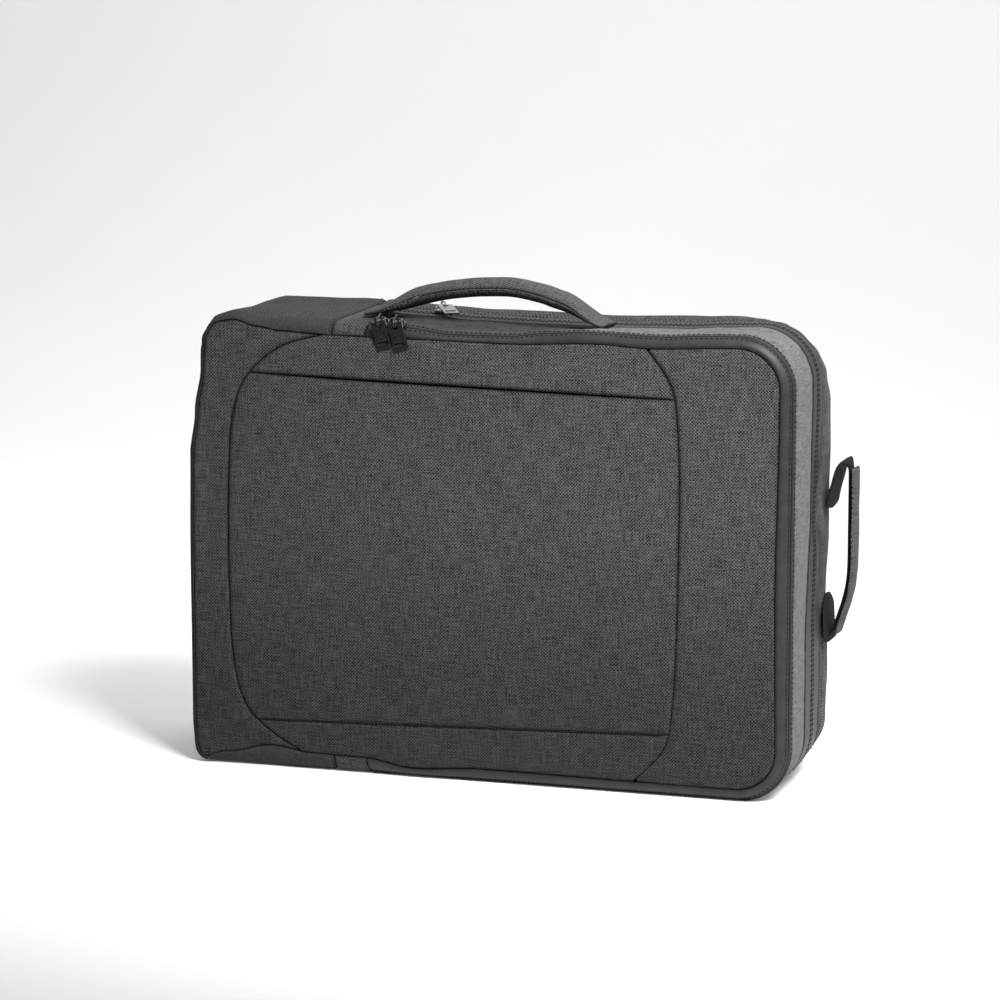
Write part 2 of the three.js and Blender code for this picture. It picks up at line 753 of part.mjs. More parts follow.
// A grid of front surface points between four border lines, each a function of a share from 0 to 1.
function gridBetween({ top, bottom, left, right, columns, rows }) {
  const corners = [top(0), top(1), bottom(0), bottom(1)];
  return rows.map((row) =>
    columns.map((column) => {
      const [u, v] = [column.share, row.share];
      const point = new THREE.Vector3();
      point.addScaledVector(top(u), 1 - v).addScaledVector(bottom(u), v);
      point.addScaledVector(left(v), 1 - u).addScaledVector(right(v), u);
      point.addScaledVector(corners[0], -(1 - u) * (1 - v)).addScaledVector(corners[1], -u * (1 - v));
      point.addScaledVector(corners[2], -(1 - u) * v).addScaledVector(corners[3], -u * v);
      const surface = frontPoint(point.x, point.z);
      surface.y += Math.max(column.drop, row.drop) * SEAM_DEPTH;
      return { point: surface, normal: FORWARD };
    }),
  );
}

function paddedPlaces(length, cells) {
  return spread(length, { reach: SEAM_REACH, edge: PADDED_EDGE, cells, gap: SEAM_GAP / 2 });
}

// One place for each station of the outline between two of its points, with the ends turned in.
function placesAlong(from, to, length) {
  const stations = between(from, to);
  const last = stations.length - 1;
  const shift = SEAM_GAP / 2 / length;
  return stations.map((station, i) => ({
    share: clamp((station - from) / (to - from), shift, 1 - shift),
    drop: i === 0 || i === last ? 1 : 0,
  }));
}

const mouthLine = lineBetween(leftBorder(MOUTH.left), rightBorder(MOUTH.right));

// The mouth stands open in its middle and closes towards its ends.
function mouthOpening(share) {
  return MOUTH_GAP * (1 - (2 * share - 1) ** 4);
}

function pocketPanel() {
  const left = partOf(leftBorder, MOUTH.left, FOOT.left);
  const right = partOf(rightBorder, MOUTH.right, FOOT.right);
  const grid = gridBetween({
    top: (share) => mouthLine(share).add(new THREE.Vector3(0, 0, -mouthOpening(share))),
    bottom: lineBetween(left(1), right(1)),
    left,
    right,
    columns: paddedPlaces(left(0.5).distanceTo(right(0.5)), 10),
    rows: POCKET_ROWS,
  });
  return wallFrom(grid, CLOTH_WALL);
}

// The top band goes on behind the pocket as a flap, set back by the pocket's wall.
function topBand() {
  const [from, to] = [atTop(LEFT_TIP), atTop(RIGHT_TIP)];
  const columns = placesAlong(from, to, RIGHT_TIP - LEFT_TIP);
  const grid = gridBetween({
    top: (share) => rimPoint(lerp(from, to, share)),
    bottom: mouthLine,
    left: partOf(leftBorder, 0, MOUTH.left),
    right: partOf(rightBorder, 0, MOUTH.right),
    columns,
    rows: BAND_ROWS,
  });
  const setBack = SEAM_DEPTH + CLOTH_WALL + FLAP_CLEARANCE;
  const inset = SEAM_REACH / mouthLine(0).distanceTo(mouthLine(1));
  for (const share of [0, 0.5, 1]) {
    grid.push(
      columns.map((column) => {
        const point = mouthLine(lerp(inset, 1 - inset, column.share));
        const surface = frontPoint(point.x, point.z - share * MOUTH_FLAP);
        surface.y += setBack;
        return { point: surface, normal: FORWARD };
      }),
    );
  }
  return wallFrom(grid, CLOTH_WALL);
}

function bottomBand() {
  const [from, to] = [atBottom(RIGHT_TOE), atBottom(LEFT_TOE)];
  const foot = lineBetween(leftBorder(FOOT.left), rightBorder(FOOT.right));
  const columns = placesAlong(from, to, RIGHT_TOE - LEFT_TOE);
  const grid = gridBetween({
    top: foot,
    bottom: (share) => rimPoint(lerp(to, from, share)),
    left: partOf(leftBorder, FOOT.left, 1),
    right: partOf(rightBorder, FOOT.right, 1),
    columns: columns.map(({ share, drop }) => ({ share: 1 - share, drop })).reverse(),
    rows: BAND_ROWS,
  });
  return wallFrom(grid, CLOTH_WALL);
}

// Reads a table straight from row to row, by any of its columns.
function matched(rows, value, from, to) {
  const rising = rows.at(-1)[from] > rows[0][from];
  const found = rows.findIndex((row) => (rising ? row[from] >= value : row[from] <= value));
  const next = found < 0 ? rows.length - 1 : Math.max(1, found);
  const [a, b] = [rows[next - 1], rows[next]];
  return lerp(a[to], b[to], (value - a[from]) / (b[from] - a[from]));
}

// A wing lies between a curved seam and the outline. It has a row for each station of the outline
// and for each row of the panels across the seam. Pairs says which places face each other.
function wing({ border, knots }, pairs) {
  const [from, to] = [pairs[0].at, pairs.at(-1).at];
  const seams = [pairs[0].seam, pairs.at(-1).seam].sort((a, b) => a - b);
  const facing = knots.filter((knot) => knot > seams[0] && knot < seams[1]);
  const wanted = [...between(from, to), ...facing.map((knot) => matched(pairs, knot, 'seam', 'at'))];
  wanted.sort((a, b) => a - b);
  const rows = wanted.filter((at, i) => i === 0 || i === wanted.length - 1 || at - wanted[i - 1] > ROW_SPACING);
  const grid = rows.map((at, i) => {
    const seam = border(matched(pairs, at, 'at', 'seam'));
    const rim = rimPoint(at);
    const end = i === 0 || i === rows.length - 1 ? 1 : 0;
    return paddedPlaces(seam.distanceTo(rim), 1).map((spot) => {
      const point = seam.clone().lerp(rim, spot.share);
      const surface = frontPoint(point.x, point.z);
      surface.y += Math.max(spot.drop, end) * SEAM_DEPTH;
      return { point: surface, normal: FORWARD };
    });
  });
  return wallFrom(grid, CLOTH_WALL);
}

function rightWing() {
  const pairs = [
    { at: atTop(RIGHT_TIP + WING_TIP), seam: 0.01 },
    { at: RIGHT, seam: 0.13 },
    { at: BOTTOM, seam: 0.88 },
    { at: atBottom(RIGHT_TOE + WING_TIP), seam: 0.99 },
  ];
  return wing(rightSide, pairs);
}

function leftWing() {
  const pairs = [
    { at: atBottom(LEFT_TOE - WING_TIP), seam: 0.99 },
    { at: LEFT, seam: 0.86 },
    { at: 4, seam: 0.2 },
    { at: 4 + atTop(LEFT_TIP - WING_TIP), seam: 0.01 },
  ];
  return wing(leftSide, pairs);
}

function backPanel() {
  const border = (at) => {
    const point = outline(at, backRim(at) * (1 + BACK_PANEL_EASE) + SEAM_GAP);
    return new THREE.Vector3(point.x, 0, point.z);
  };
  const grid = gridBetween({
    top: (share) => border(TOP + share),
    bottom: (share) => border(BOTTOM + 1 - share),
    left: (share) => border(LEFT + 1 - share),
    right: (share) => border(RIGHT + share),
    columns: paddedPlaces(BODY_WIDTH, 10),
    rows: paddedPlaces(BODY_HEIGHT, 6),
  });
  for (const spot of grid.flat()) {
    const depth = spot.point.y + BODY_DEPTH / 2;
    spot.point.y = BODY_DEPTH / 2 - depth * (depth > 0 ? 1 : BACK_BULGE / FRONT_BULGE);
    spot.normal = BACKWARD;
  }
  return wallFrom(grid, CLOTH_WALL);
}

// A closed body through a row of sections with as many points each.
function loft(sections) {
  const count = sections[0].length;
  const positions = sections.flat().flatMap((point) => [point.x, point.y, point.z]);
  const triangles = [];
  for (let i = 0; i + 1 < sections.length; i += 1) {
    for (let j = 0; j < count; j += 1) {
      const [a, b] = [i * count + j, i * count + ((j + 1) % count)];
      triangles.push(a, b, b + count, a, b + count, a + count);
    }
  }
  const end = (sections.length - 1) * count;
  for (let j = 1; j + 1 < count; j += 1) {
    triangles.push(0, j + 1, j);
    triangles.push(end, end + j, end + j + 1);
  }
  return facingOut(solidFrom(positions, triangles));
}

// A smooth value between the rows of a table that counts its rows by a share.
function splineThrough(rows, first, second) {
  return new THREE.CatmullRomCurve3(rows.map((row) => new THREE.Vector3(row[first], row[second], 0)));
}

// The top handle stands on the middle gusset. Its ends follow the gusset's sag.
function topHandleSections(pointsOf) {
  const path = splineThrough(TOP_HANDLE_ROWS, 'along', 'rise');
  const sections = [];
  for (let i = 0; i <= TOP_HANDLE_STEPS; i += 1) {
    const share = i / TOP_HANDLE_STEPS;
    const spot = path.getPoint(share);
    const slope = path.getTangent(share);
    const x = TOP_HANDLE_START - BODY_WIDTH / 2 + spot.x * TOP_HANDLE_SPAN;
    const bend = Math.atan2(slope.y * TOP_HANDLE_RISE, slope.x * TOP_HANDLE_SPAN);
    const free = clamp(Math.min(spot.x, 1 - spot.x) / TOP_HANDLE_FLARE, 0, 1);
    const round = free * free * (3 - 2 * free);
    const width = lerp(TOP_HANDLE_END_WIDTH, TOP_HANDLE_WIDTH, round);
    const thickness = lerp(TOP_HANDLE_END_THICKNESS, TOP_HANDLE_THICKNESS, round);
    const section = pointsOf(width, thickness).map(([side, up]) => {
      const y = TOP_HANDLE_SETBACK - BODY_DEPTH / 2 + side;
      const seat = BODY_HEIGHT - lerp(sag(atTop(x), y), 0, round) + HANDLE_SEAT + thickness / 2;
      const height = seat + Math.max(0, spot.y) * TOP_HANDLE_RISE + up * Math.cos(bend);
      return new THREE.Vector3(x - up * Math.sin(bend), y, height);
    });
    sections.push(section);
  }
  return sections;
}

// Half of the handle's oval section: side 1 is the sleeve on top, side -1 the grip below.
function halfOval(side) {
  return (width, thickness) => {
    const points = [];
    for (let i = 0; i <= HALF_OVAL_STEPS; i += 1) {
      const angle = (Math.PI * i) / HALF_OVAL_STEPS;
      const up = side * (SEAM_GAP / 2 + (thickness / 2 - SEAM_GAP / 2) * Math.sin(angle) ** OVAL_POWER);
      points.push([(width / 2) * Math.cos(angle), up]);
    }
    return points;
  };
}

// The line of the side handle's webbing, from its upper tail over the outer leg to its lower tail.
const sideHandlePath = splineThrough(SIDE_HANDLE_ROWS, 'out', 'up');

function sideHandlePoint(share, y, lift) {
  const spot = sideHandlePath.getPoint(share);
  const slope = sideHandlePath.getTangent(share);
  const height = SIDE_HANDLE_TOP - SIDE_HANDLE_BOTTOM;
  const z = SIDE_HANDLE_BOTTOM + spot.y * height;
  const direction = new THREE.Vector2(slope.x * SIDE_STANDOFF, slope.y * height).normalize();
  const at = RIGHT + outlineShare(SIDES[RIGHT], BODY_HEIGHT - z);
  const wall = BODY_WIDTH / 2 - sag(at, y) * clamp(1 - spot.x, 0, 1);
  const x = wall + HANDLE_SEAT + SIDE_STRAP_WALL / 2 + spot.x * SIDE_STANDOFF;
  return new THREE.Vector3(x - direction.y * lift, y, z + direction.x * lift);
}

// The strap is folded narrower where the cover holds it.
function strapWidth(share) {
  const inside = Math.min(share - SIDE_COVER_FROM, SIDE_COVER_TO - share);
  const folded = clamp(1 + inside / SIDE_NARROWING, 0, 1);
  return lerp(SIDE_STRAP_WIDTH, SIDE_GRIP_WIDTH, folded * folded * (3 - 2 * folded));
}

// A flat band along the side handle's line, between two lifts off that line.
function sideBand(from, to, steps, inside, outside) {
  const middle = SIDE_STRAP_SETBACK - BODY_DEPTH / 2;
  const sections = [];
  for (let i = 0; i <= steps; i += 1) {
    const share = lerp(from, to, i / steps);
    const half = strapWidth(share) / 2;
    const [front, back] = [middle - half, middle + half];
    sections.push([
      sideHandlePoint(share, front, inside),
      sideHandlePoint(share, back, inside),
      sideHandlePoint(share, back, outside),
      sideHandlePoint(share, front, outside),
    ]);
  }
  return loft(sections);
}

function toManifold(geometry) {
  const bare = geometry.clone();
  bare.deleteAttribute('normal');
  bare.deleteAttribute('uv');
  const merged = mergeVertices(bare, 1e-4);
  const mesh = new wasm.Mesh({
    numProp: 3,
    vertProperties: new Float32Array(merged.attributes.position.array),
    triVerts: new Uint32Array(merged.index.array),
  });
  return new wasm.Manifold(mesh);
}

function fromManifold(solid) {
  const mesh = solid.getMesh();
  return solidFrom(Array.from(mesh.vertProperties), Array.from(mesh.triVerts));
}

function roundedOutline(shape, width, height, radius) {
  const [x, y] = [width / 2, height / 2];
  shape.moveTo(-x + radius, -y);
  shape.lineTo(x - radius, -y);
  shape.absarc(x - radius, -y + radius, radius, -Math.PI / 2, 0);
  shape.lineTo(x, y - radius);
  shape.absarc(x - radius, y - radius, radius, 0, Math.PI / 2);
  shape.lineTo(-x + radius, y);
  shape.absarc(-x + radius, y - radius, radius, Math.PI / 2, Math.PI);
  shape.lineTo(-x, -y + radius);
  shape.absarc(-x + radius, -y + radius, radius, Math.PI, 1.5 * Math.PI);
  return shape;
}

// A slider: a body that rides on the coil, and a bridge over it that holds the loop.
function sliderGeometry() {
  const plan = roundedOutline(new THREE.Shape(), SLIDER_LENGTH, SLIDER_WIDTH, SLIDER_WIDTH / 4);
  const body = new THREE.ExtrudeGeometry(plan, { depth: SLIDER_HEIGHT, bevelEnabled: false, curveSegments: 3 });
  const half = SLIDER_LENGTH / 2 - BRIDGE_WALL;
  const top = SLIDER_HEIGHT + BRIDGE_RISE;
  const side = new THREE.Shape();
  side.moveTo(-half, SLIDER_HEIGHT - BRIDGE_WALL);
  side.lineTo(-half, top - BRIDGE_WALL);
  side.lineTo(-half + BRIDGE_WALL, top);
  side.lineTo(half - BRIDGE_WALL, top);
  side.lineTo(half, top - BRIDGE_WALL);
  side.lineTo(half, SLIDER_HEIGHT - BRIDGE_WALL);
  side.lineTo(half - BRIDGE_WALL, SLIDER_HEIGHT - BRIDGE_WALL);
  side.lineTo(half - BRIDGE_WALL, top - BRIDGE_WALL);
  side.lineTo(-half + BRIDGE_WALL, top - BRIDGE_WALL);
  side.lineTo(-half + BRIDGE_WALL, SLIDER_HEIGHT - BRIDGE_WALL);
  const bridge = new THREE.ExtrudeGeometry(side, { depth: BRIDGE_WIDTH, bevelEnabled: false });
  bridge.rotateX(Math.PI / 2);
  bridge.translate(0, BRIDGE_WIDTH / 2, 0);
  return fromManifold(toManifold(body).add(toManifold(bridge)));
}

const BRIDGE_BAR = SLIDER_HEIGHT + BRIDGE_RISE - BRIDGE_WALL / 2;
const LOOP_REACH = LOOP_LENGTH - LOOP_WIDTH;

// A wire loop with two round ends, in the plane of Y and Z. It hangs towards -Y from its first end.
function loopGeometry() {
  const radius = LOOP_WIDTH / 2;
  const centres = [];
  for (let i = 0; i <= LOOP_ARC_STEPS; i += 1) {
    const angle = -Math.PI / 2 + (Math.PI * i) / LOOP_ARC_STEPS;
    centres.push(new THREE.Vector3(0, radius * Math.cos(angle), radius * Math.sin(angle)));
  }
  const far = centres.map((point) => new THREE.Vector3(0, -LOOP_REACH - point.y, -point.z));
  const path = [...centres, ...far];
  const positions = [];
  const triangles = [];
  path.forEach((point, i) => {
    const next = path[(i + 1) % path.length];
    const previous = path[(i + path.length - 1) % path.length];
    const tangent = next.clone().sub(previous).normalize();
    const across = new THREE.Vector3(1, 0, 0);
    const out = tangent.clone().cross(across);
    for (let j = 0; j < WIRE_SIDES; j += 1) {
      const turn = (2 * Math.PI * j) / WIRE_SIDES;
      const spot = point
        .clone()
        .addScaledVector(across, (LOOP_WIRE / 2) * Math.cos(turn))
        .addScaledVector(out, (LOOP_WIRE / 2) * Math.sin(turn));
      positions.push(spot.x, spot.y, spot.z);
      const k = (j + 1) % WIRE_SIDES;
      const ring = ((i + 1) % path.length) * WIRE_SIDES;
      triangles.push(i * WIRE_SIDES + j, i * WIRE_SIDES + k, ring + k);
      triangles.push(i * WIRE_SIDES + j, ring + k, ring + j);
    }
  });
  return facingOut(solidFrom(positions, triangles));
}

function slot(width, height, middle) {
  const corners = [[-1, -1], [1, -1], [1, 1], [-1, 1]];
  const points = corners.map(([x, y]) => new THREE.Vector2((x * width) / 2, middle + (y * height) / 2));
  return new THREE.Path(points);
}

// A flat pull with an eye at its top and a window near its foot, hanging towards -Y.
function pullGeometry() {
  const plate = roundedOutline(new THREE.Shape(), PULL_WIDTH, PULL_LENGTH, PULL_RIM);
  plate.holes.push(slot(PULL_EYE, PULL_EYE, PULL_LENGTH / 2 - PULL_RIM - PULL_EYE / 2));
  plate.holes.push(slot(PULL_WIDTH - 2 * PULL_RIM, PULL_WINDOW, PULL_LENGTH * (PULL_WINDOW_HEIGHT - 0.5)));
  const geometry = new THREE.ExtrudeGeometry(plate, {
    depth: PULL_THICKNESS,
    bevelEnabled: false,
    curveSegments: 2,
  });
  geometry.translate(0, PULL_RIM / 2 - PULL_LENGTH / 2, -PULL_THICKNESS / 2);
  return geometry;
}

// A slider on a zip's coil with its loop and pull. The loop is turned about the slider's height, the
// pull tips down from the loop and leans to one side.
function sliderSet(names, at, cross, looks, { turn, tip, lean }) {
  const seat = hullPoint(at, cross);
  const up = hullNormal(at, cross);
  const along = new THREE.Vector3(1, 0, 0);
  const back = up.clone().cross(along).normalize();
  const set = new THREE.Group();
  set.setRotationFromMatrix(new THREE.Matrix4().makeBasis(along, back, up));
  set.position.copy(seat.addScaledVector(up, METAL_GAP));
  bag.add(set);
  place(names.slider, sliderGeometry(), looks.slider, set);
  const swivel = new THREE.Group();
  swivel.position.z = BRIDGE_BAR;
  swivel.rotation.z = turn;
  set.add(swivel);
  place(names.loop, loopGeometry(), looks.loop, swivel);
  const hang = new THREE.Group();
  hang.position.y = -LOOP_REACH;
  hang.rotation.x = tip;
  swivel.add(hang);
  const pull = place(names.pull, pullGeometry(), looks.pull, hang);
  pull.rotation.z = lean;
}

function addCloth() {
  place('front_left_wing', leftWing(), WOVEN);
  place('front_right_wing', rightWing(), WOVEN);
  place('front_top_band', topBand(), WOVEN);
  place('front_pocket_panel', pocketPanel(), WOVEN);
  place('front_bottom_band', bottomBand(), WOVEN);
  place('front_zip_front_tape', zipTape(constant(0), constant(FRONT_COIL), [FRONT_COIL / 2]), COATED);
  place('front_zip_rear_tape', zipTape(constant(FRONT_COIL), constant(1)), COATED);
  place('front_zip_end_top', zipEndTop(constant(0), constant(1)), WOVEN);
  place('front_zip_end_bottom', zipEndBottom(constant(0), constant(1)), WOVEN);
  place('middle_gusset', gusset(constant(1), beforeRearZip, []), WOVEN);
  place('rear_zip_front_tape', zipTape(beforeRearZip, alongRearCoil), COATED);
  place('rear_zip_rear_tape', zipTape(alongRearCoil, afterRearZip), COATED);
  place('rear_zip_end_top', zipEndTop(beforeRearZip, afterRearZip), WOVEN);
  place('rear_zip_end_bottom', zipEndBottom(beforeRearZip, afterRearZip), WOVEN);
  place('rear_gusset', gusset(afterRearZip, constant(3), [2, 2.4]), WOVEN);
  place('base_panel', basePanel(), SMOOTH);
  place('back_panel', backPanel(), SMOOTH);
}

function addHandles() {
  place('top_handle_sleeve', loft(topHandleSections(halfOval(1))), WOVEN);
  place('top_handle_grip', loft(topHandleSections(halfOval(-1))), MESH_CLOTH);
  const half = SIDE_STRAP_WALL / 2;
  place('side_handle_webbing', sideBand(0, 1, 32, -half, half), WEBBING);
  const [low, high] = [half + METAL_GAP, half + METAL_GAP + SIDE_COVER_WALL];
  place('side_handle_cover', sideBand(SIDE_COVER_FROM, SIDE_COVER_TO, 16, low, high), WOVEN);
}

function addSliders() {
  const dark = { slider: DARK_METAL, loop: DARK_METAL, pull: DARK_METAL };
  const bright = { slider: BRIGHT_METAL, loop: BRIGHT_METAL, pull: BRIGHT_METAL };
  const hanging = { turn: 0, tip: FRONT_PULL_TIP, lean: FRONT_PULL_LEAN };
  const names = (kind) => ({
    slider: `front_slider_${kind}`,
    loop: `front_loop_${kind}`,
    pull: `front_pull_${kind}`,
  });
  const first = ZIP_START_X + SLIDER_LENGTH;
  sliderSet(names('left'), atTop(first), FRONT_COIL, dark, hanging);
  sliderSet(names('right'), atTop(first + SLIDER_LENGTH + SLIDER_SPACING), FRONT_COIL, dark, hanging);
  const at = atTop(REAR_SLIDER_PLACE - BODY_WIDTH / 2);
  const rear = { slider: 'rear_slider', loop: 'rear_loop', pull: 'rear_pull' };
  sliderSet(rear, at, alongRearCoil(at), bright, { turn: REAR_LOOP_TURN, tip: REAR_PULL_TIP, lean: 0 });
}

addCloth();
addHandles();
addSliders();

// The origin goes under the middle of the whole bag.
const box = new THREE.Box3().setFromObject(bag);
const centre = box.getCenter(new THREE.Vector3());
bag.position.set(-centre.x, -centre.y, -box.min.z);

export default bag;
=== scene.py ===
# %% [markdown]
# # A convertible backpack, standing as a briefcase
# The bag is built panel by panel, as a bag maker sews it. Every panel is a grid of points on the bag's
# own surface, with a rolled edge at each seam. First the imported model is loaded: it is the frame
# that every piece has to fit.

# %% Load the frame
import math

import bpy
from mathutils import Matrix, Vector, noise


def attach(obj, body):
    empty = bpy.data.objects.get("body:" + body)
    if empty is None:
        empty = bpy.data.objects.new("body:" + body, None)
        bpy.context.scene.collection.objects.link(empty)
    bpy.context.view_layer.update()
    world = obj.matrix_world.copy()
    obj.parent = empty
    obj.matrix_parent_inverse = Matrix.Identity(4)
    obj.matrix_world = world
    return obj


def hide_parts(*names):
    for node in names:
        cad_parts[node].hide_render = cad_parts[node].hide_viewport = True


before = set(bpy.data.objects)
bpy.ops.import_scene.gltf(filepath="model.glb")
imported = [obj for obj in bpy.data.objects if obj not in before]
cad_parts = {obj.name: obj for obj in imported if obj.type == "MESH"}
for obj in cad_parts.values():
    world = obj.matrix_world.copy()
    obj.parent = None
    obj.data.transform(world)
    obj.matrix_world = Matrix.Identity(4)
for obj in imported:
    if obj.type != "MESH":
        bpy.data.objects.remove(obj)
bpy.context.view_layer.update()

# %% [markdown]
# ## Sizes
# All sizes are in millimetres, counted from the middle of the bag's body. One function turns them
# into metres in the frame, whose origin is under the middle of the whole bag.

# %% Sizes of the body
MM = 0.001
SHIFT = Vector((-8.734, 1.481, 0.0))
WIDTH, DEPTH, HEIGHT = 420.0, 120.0, 310.0
TOP_LEFT_RADIUS, BOTTOM_LEFT_RADIUS, RIGHT_RADIUS = 24.0, 12.0, 36.0
FRONT_EDGE, BACK_EDGE = 11.0, 10.0
FRONT_BULGE, BACK_BULGE = 5.0, 3.0
SAG = 5.0
SEAM_GAP, SEAM_SLIT = 0.3, 0.05
HALF_CORNER = math.pi / 4
TOP, RIGHT, BOTTOM, LEFT = 0, 1, 2, 3
FORWARD, BACKWARD, UP = Vector((0, -1, 0)), Vector((0, 1, 0)), Vector((0, 0, 1))


def framed(point):
    """A point in millimetres, moved into the frame and turned into metres. Nothing goes below the floor."""
    moved = point + SHIFT
    return Vector((moved.x, moved.y, max(moved.z, 0))) * MM


# %% [markdown]
# ## Reading a table
# The seams wander a little, as sewn seams do. Short tables say where they go, and two small
# functions read them: one eases from row to row, the other goes straight.

# %% Tables
FRONT_SEAM = [  # place on the outline, share of FRONT_EDGE that the front seam lies in
    (0, 0.7), (0.035, 0.3), (0.07, 0.14), (0.105, 0.5), (0.15, 0.73), (0.24, 0.9), (0.39, 0.95), (0.55, 1),
    (0.69, 0.8), (0.78, 0.95), (0.93, 0.75), (1.2, 0.8), (1.5, 0.93), (2.07, 0.78), (2.23, 0.8),
    (2.5, 0.87), (2.62, 0.6), (2.7, 1.05), (2.8, 1.12), (2.865, 1.45), (2.95, 0.8), (3, 0.25),
    (3.1, 0.1), (3.5, 0.08), (3.7, 0.15), (3.8, 0.5), (3.9, 0.92), (3.96, 0.95), (4, 0.7),
]
SAGS = [  # place on the outline, shares of SAG at the front, the middle and the back
    (0, 1, 0.7, 0.4), (0.035, -0.5, 0, 0), (0.06, -1, -0.5, -0.5), (0.12, 0, -0.2, -0.6),
    (0.26, 0.1, -0.1, -0.75), (0.36, 0.45, 0.3, -0.2), (0.44, 1.35, 0.65, 0.1),
    (0.54, 1.25, 0.8, 0.2), (0.61, 0.45, 0.8, 0.3),
    (0.67, 0, 0.9, 0.3), (0.8, 0.35, 0.7, 0.1), (0.87, 0.1, 0.3, 0.05), (0.9, 0, 0.2, 0.3),
    (0.93, 0, 0.1, 0.85), (0.965, 0, 0.1, 1.45), (1, 0, 0.1, 1.8), (1.05, 0, 0.1, 1.4),
    (1.1, 0, 0, 0.7), (1.16, 0, 0, 0), (1.3, 0, 0, -0.25), (1.45, 0, 0, -0.15), (1.6, 0, 0.1, 0.3),
    (1.8, 0, 0, -0.15), (1.9, 0, 0, 0.2), (2, 0, 0, 0.8), (2.1, 0, 0, 0), (3, 0, 0, 0),
    (3.5, 0, -0.25, 0), (3.7, 0.1, -0.1, 0), (3.8, 0.85, 0.5, 0.2), (3.9, 1.8, 1.1, 0.4),
    (3.96, 1.9, 1.1, 0.4), (4, 1, 0.7, 0.4),
]
DEPTH_SEAMS = [  # place on the outline, shares of DEPTH before and after the rear zip
    (0, 0, 0.22), (1.15, 0, 0.24), (1.28, -0.015, 0.18), (1.4, -0.02, 0.09), (1.5, -0.05, 0.22),
    (1.7, -0.1, 0.23), (2.1, -0.1, 0.2), (3, -0.1, 0.2), (4, 0, 0.22),
]
LEFT_WING_SEAM = [  # shares of WIDTH and HEIGHT, from the tip down
    (-0.27, 0.968), (-0.343, 0.938), (-0.402, 0.87), (-0.425, 0.79), (-0.434, 0.64),
    (-0.435, 0.44), (-0.426, 0.22), (-0.406, 0.137), (-0.37, 0.09), (-0.31, 0.045),
]
RIGHT_WING_SEAM = [  # shares of WIDTH and HEIGHT, from the tip down
    (0.264, 0.968), (0.2917, 0.922), (0.31, 0.877), (0.3171, 0.818), (0.3221, 0.69),
    (0.3214, 0.52), (0.3193, 0.345), (0.3129, 0.193), (0.3026, 0.115), (0.2864, 0.081),
    (0.2474, 0.03),
]


def clamp(value, low=0.0, high=1.0):
    return min(high, max(low, value))


def lerp(a, b, share):
    return a + (b - a) * share


def smooth(share):
    share = clamp(share)
    return share * share * (3 - 2 * share)


def running_length(spots):
    """How far along a line of points each point is."""
    marks = [0.0]
    for a, b in zip(spots, spots[1:]):
        marks.append(marks[-1] + (b - a).length)
    return marks


def follow(rows, at, column=1):
    """Reads a table with an easy curve from row to row."""
    for a, b in zip(rows, rows[1:]):
        if at <= b[0]:
            return lerp(a[column], b[column], smooth((at - a[0]) / (b[0] - a[0])))
    return rows[-1][column]


def straight(rows, value, source, target):
    """Reads a table straight from row to row, by any of its columns."""
    rising = rows[-1][source] > rows[0][source]
    for a, b in zip(rows, rows[1:]):
        if (value <= b[source]) if rising else (value >= b[source]):
            break
    return lerp(a[target], b[target], (value - a[source]) / (b[source] - a[source]))


# %% [markdown]
# ## The outline of the bag
# Seen from the front, the bag is a rectangle with four different corners. A place on its outline is
# one number: 0 at the top left corner, then one unit for each side, going clockwise.

# %% The outline
SIDES = [
    ((0, 1), (1, 0), TOP_LEFT_RADIUS, RIGHT_RADIUS, WIDTH, (-WIDTH / 2, HEIGHT)),
    ((1, 0), (0, -1), RIGHT_RADIUS, RIGHT_RADIUS, HEIGHT, (WIDTH / 2, HEIGHT)),
    ((0, -1), (-1, 0), RIGHT_RADIUS, BOTTOM_LEFT_RADIUS, WIDTH, (WIDTH / 2, 0)),
    ((-1, 0), (0, 1), BOTTOM_LEFT_RADIUS, TOP_LEFT_RADIUS, HEIGHT, (-WIDTH / 2, 0)),
]


def side_length(index):
    _, _, first, last, full, _ = SIDES[index]
    return full - first - last + HALF_CORNER * (first + last)


def outline(at, inset=0.0):
    """A point (x, z) of the outline moved in by inset, and the direction out of it."""
    turn = at % 4
    index = int(turn)
    normal, run, first, last, full, start = SIDES[index]
    along = (turn - index) * side_length(index)
    even = clamp(along - HALF_CORNER * first, 0, full - first - last)
    before = min(0, along - HALF_CORNER * first) / (HALF_CORNER * first)
    after = max(0, along - HALF_CORNER * first - (full - first - last)) / (HALF_CORNER * last)
    radius = first if before < 0 else last
    angle = HALF_CORNER * (before + after)
    out = [normal[i] * math.cos(angle) + run[i] * math.sin(angle) for i in (0, 1)]
    centre = [start[i] + run[i] * (first + even) - normal[i] * radius for i in (0, 1)]
    return centre[0] + out[0] * (radius - inset), centre[1] + out[1] * (radius - inset), out


def outline_share(index, distance):
    first = SIDES[index][2]
    return (distance - first + HALF_CORNER * first) / side_length(index)


def at_top(x):
    return TOP + outline_share(TOP, x + WIDTH / 2)


def at_bottom(x):
    return BOTTOM + outline_share(BOTTOM, WIDTH / 2 - x)


def at_right(z):
    return RIGHT + outline_share(RIGHT, HEIGHT - z)


print("outline is", round(sum(side_length(i) for i in range(4))), "mm round")

# %% [markdown]
# ## The sides of the bag
# Going over the side from front to back, a second number runs from 0 to 3: over the rounded front
# edge, over the side, and over the rounded back edge. The sides sink in where the cloth is slack.

# %% The sides
FLAT_FRONT, FLAT_BACK = FRONT_EDGE - DEPTH / 2, DEPTH / 2 - BACK_EDGE


def sag(at, y):
    turn = at % 4
    front, middle, back = (follow(SAGS, turn, column) for column in (1, 2, 3))
    depth = clamp(y / (DEPTH / 2), -1, 1)
    return SAG * lerp(middle, front if depth < 0 else back, depth * depth)


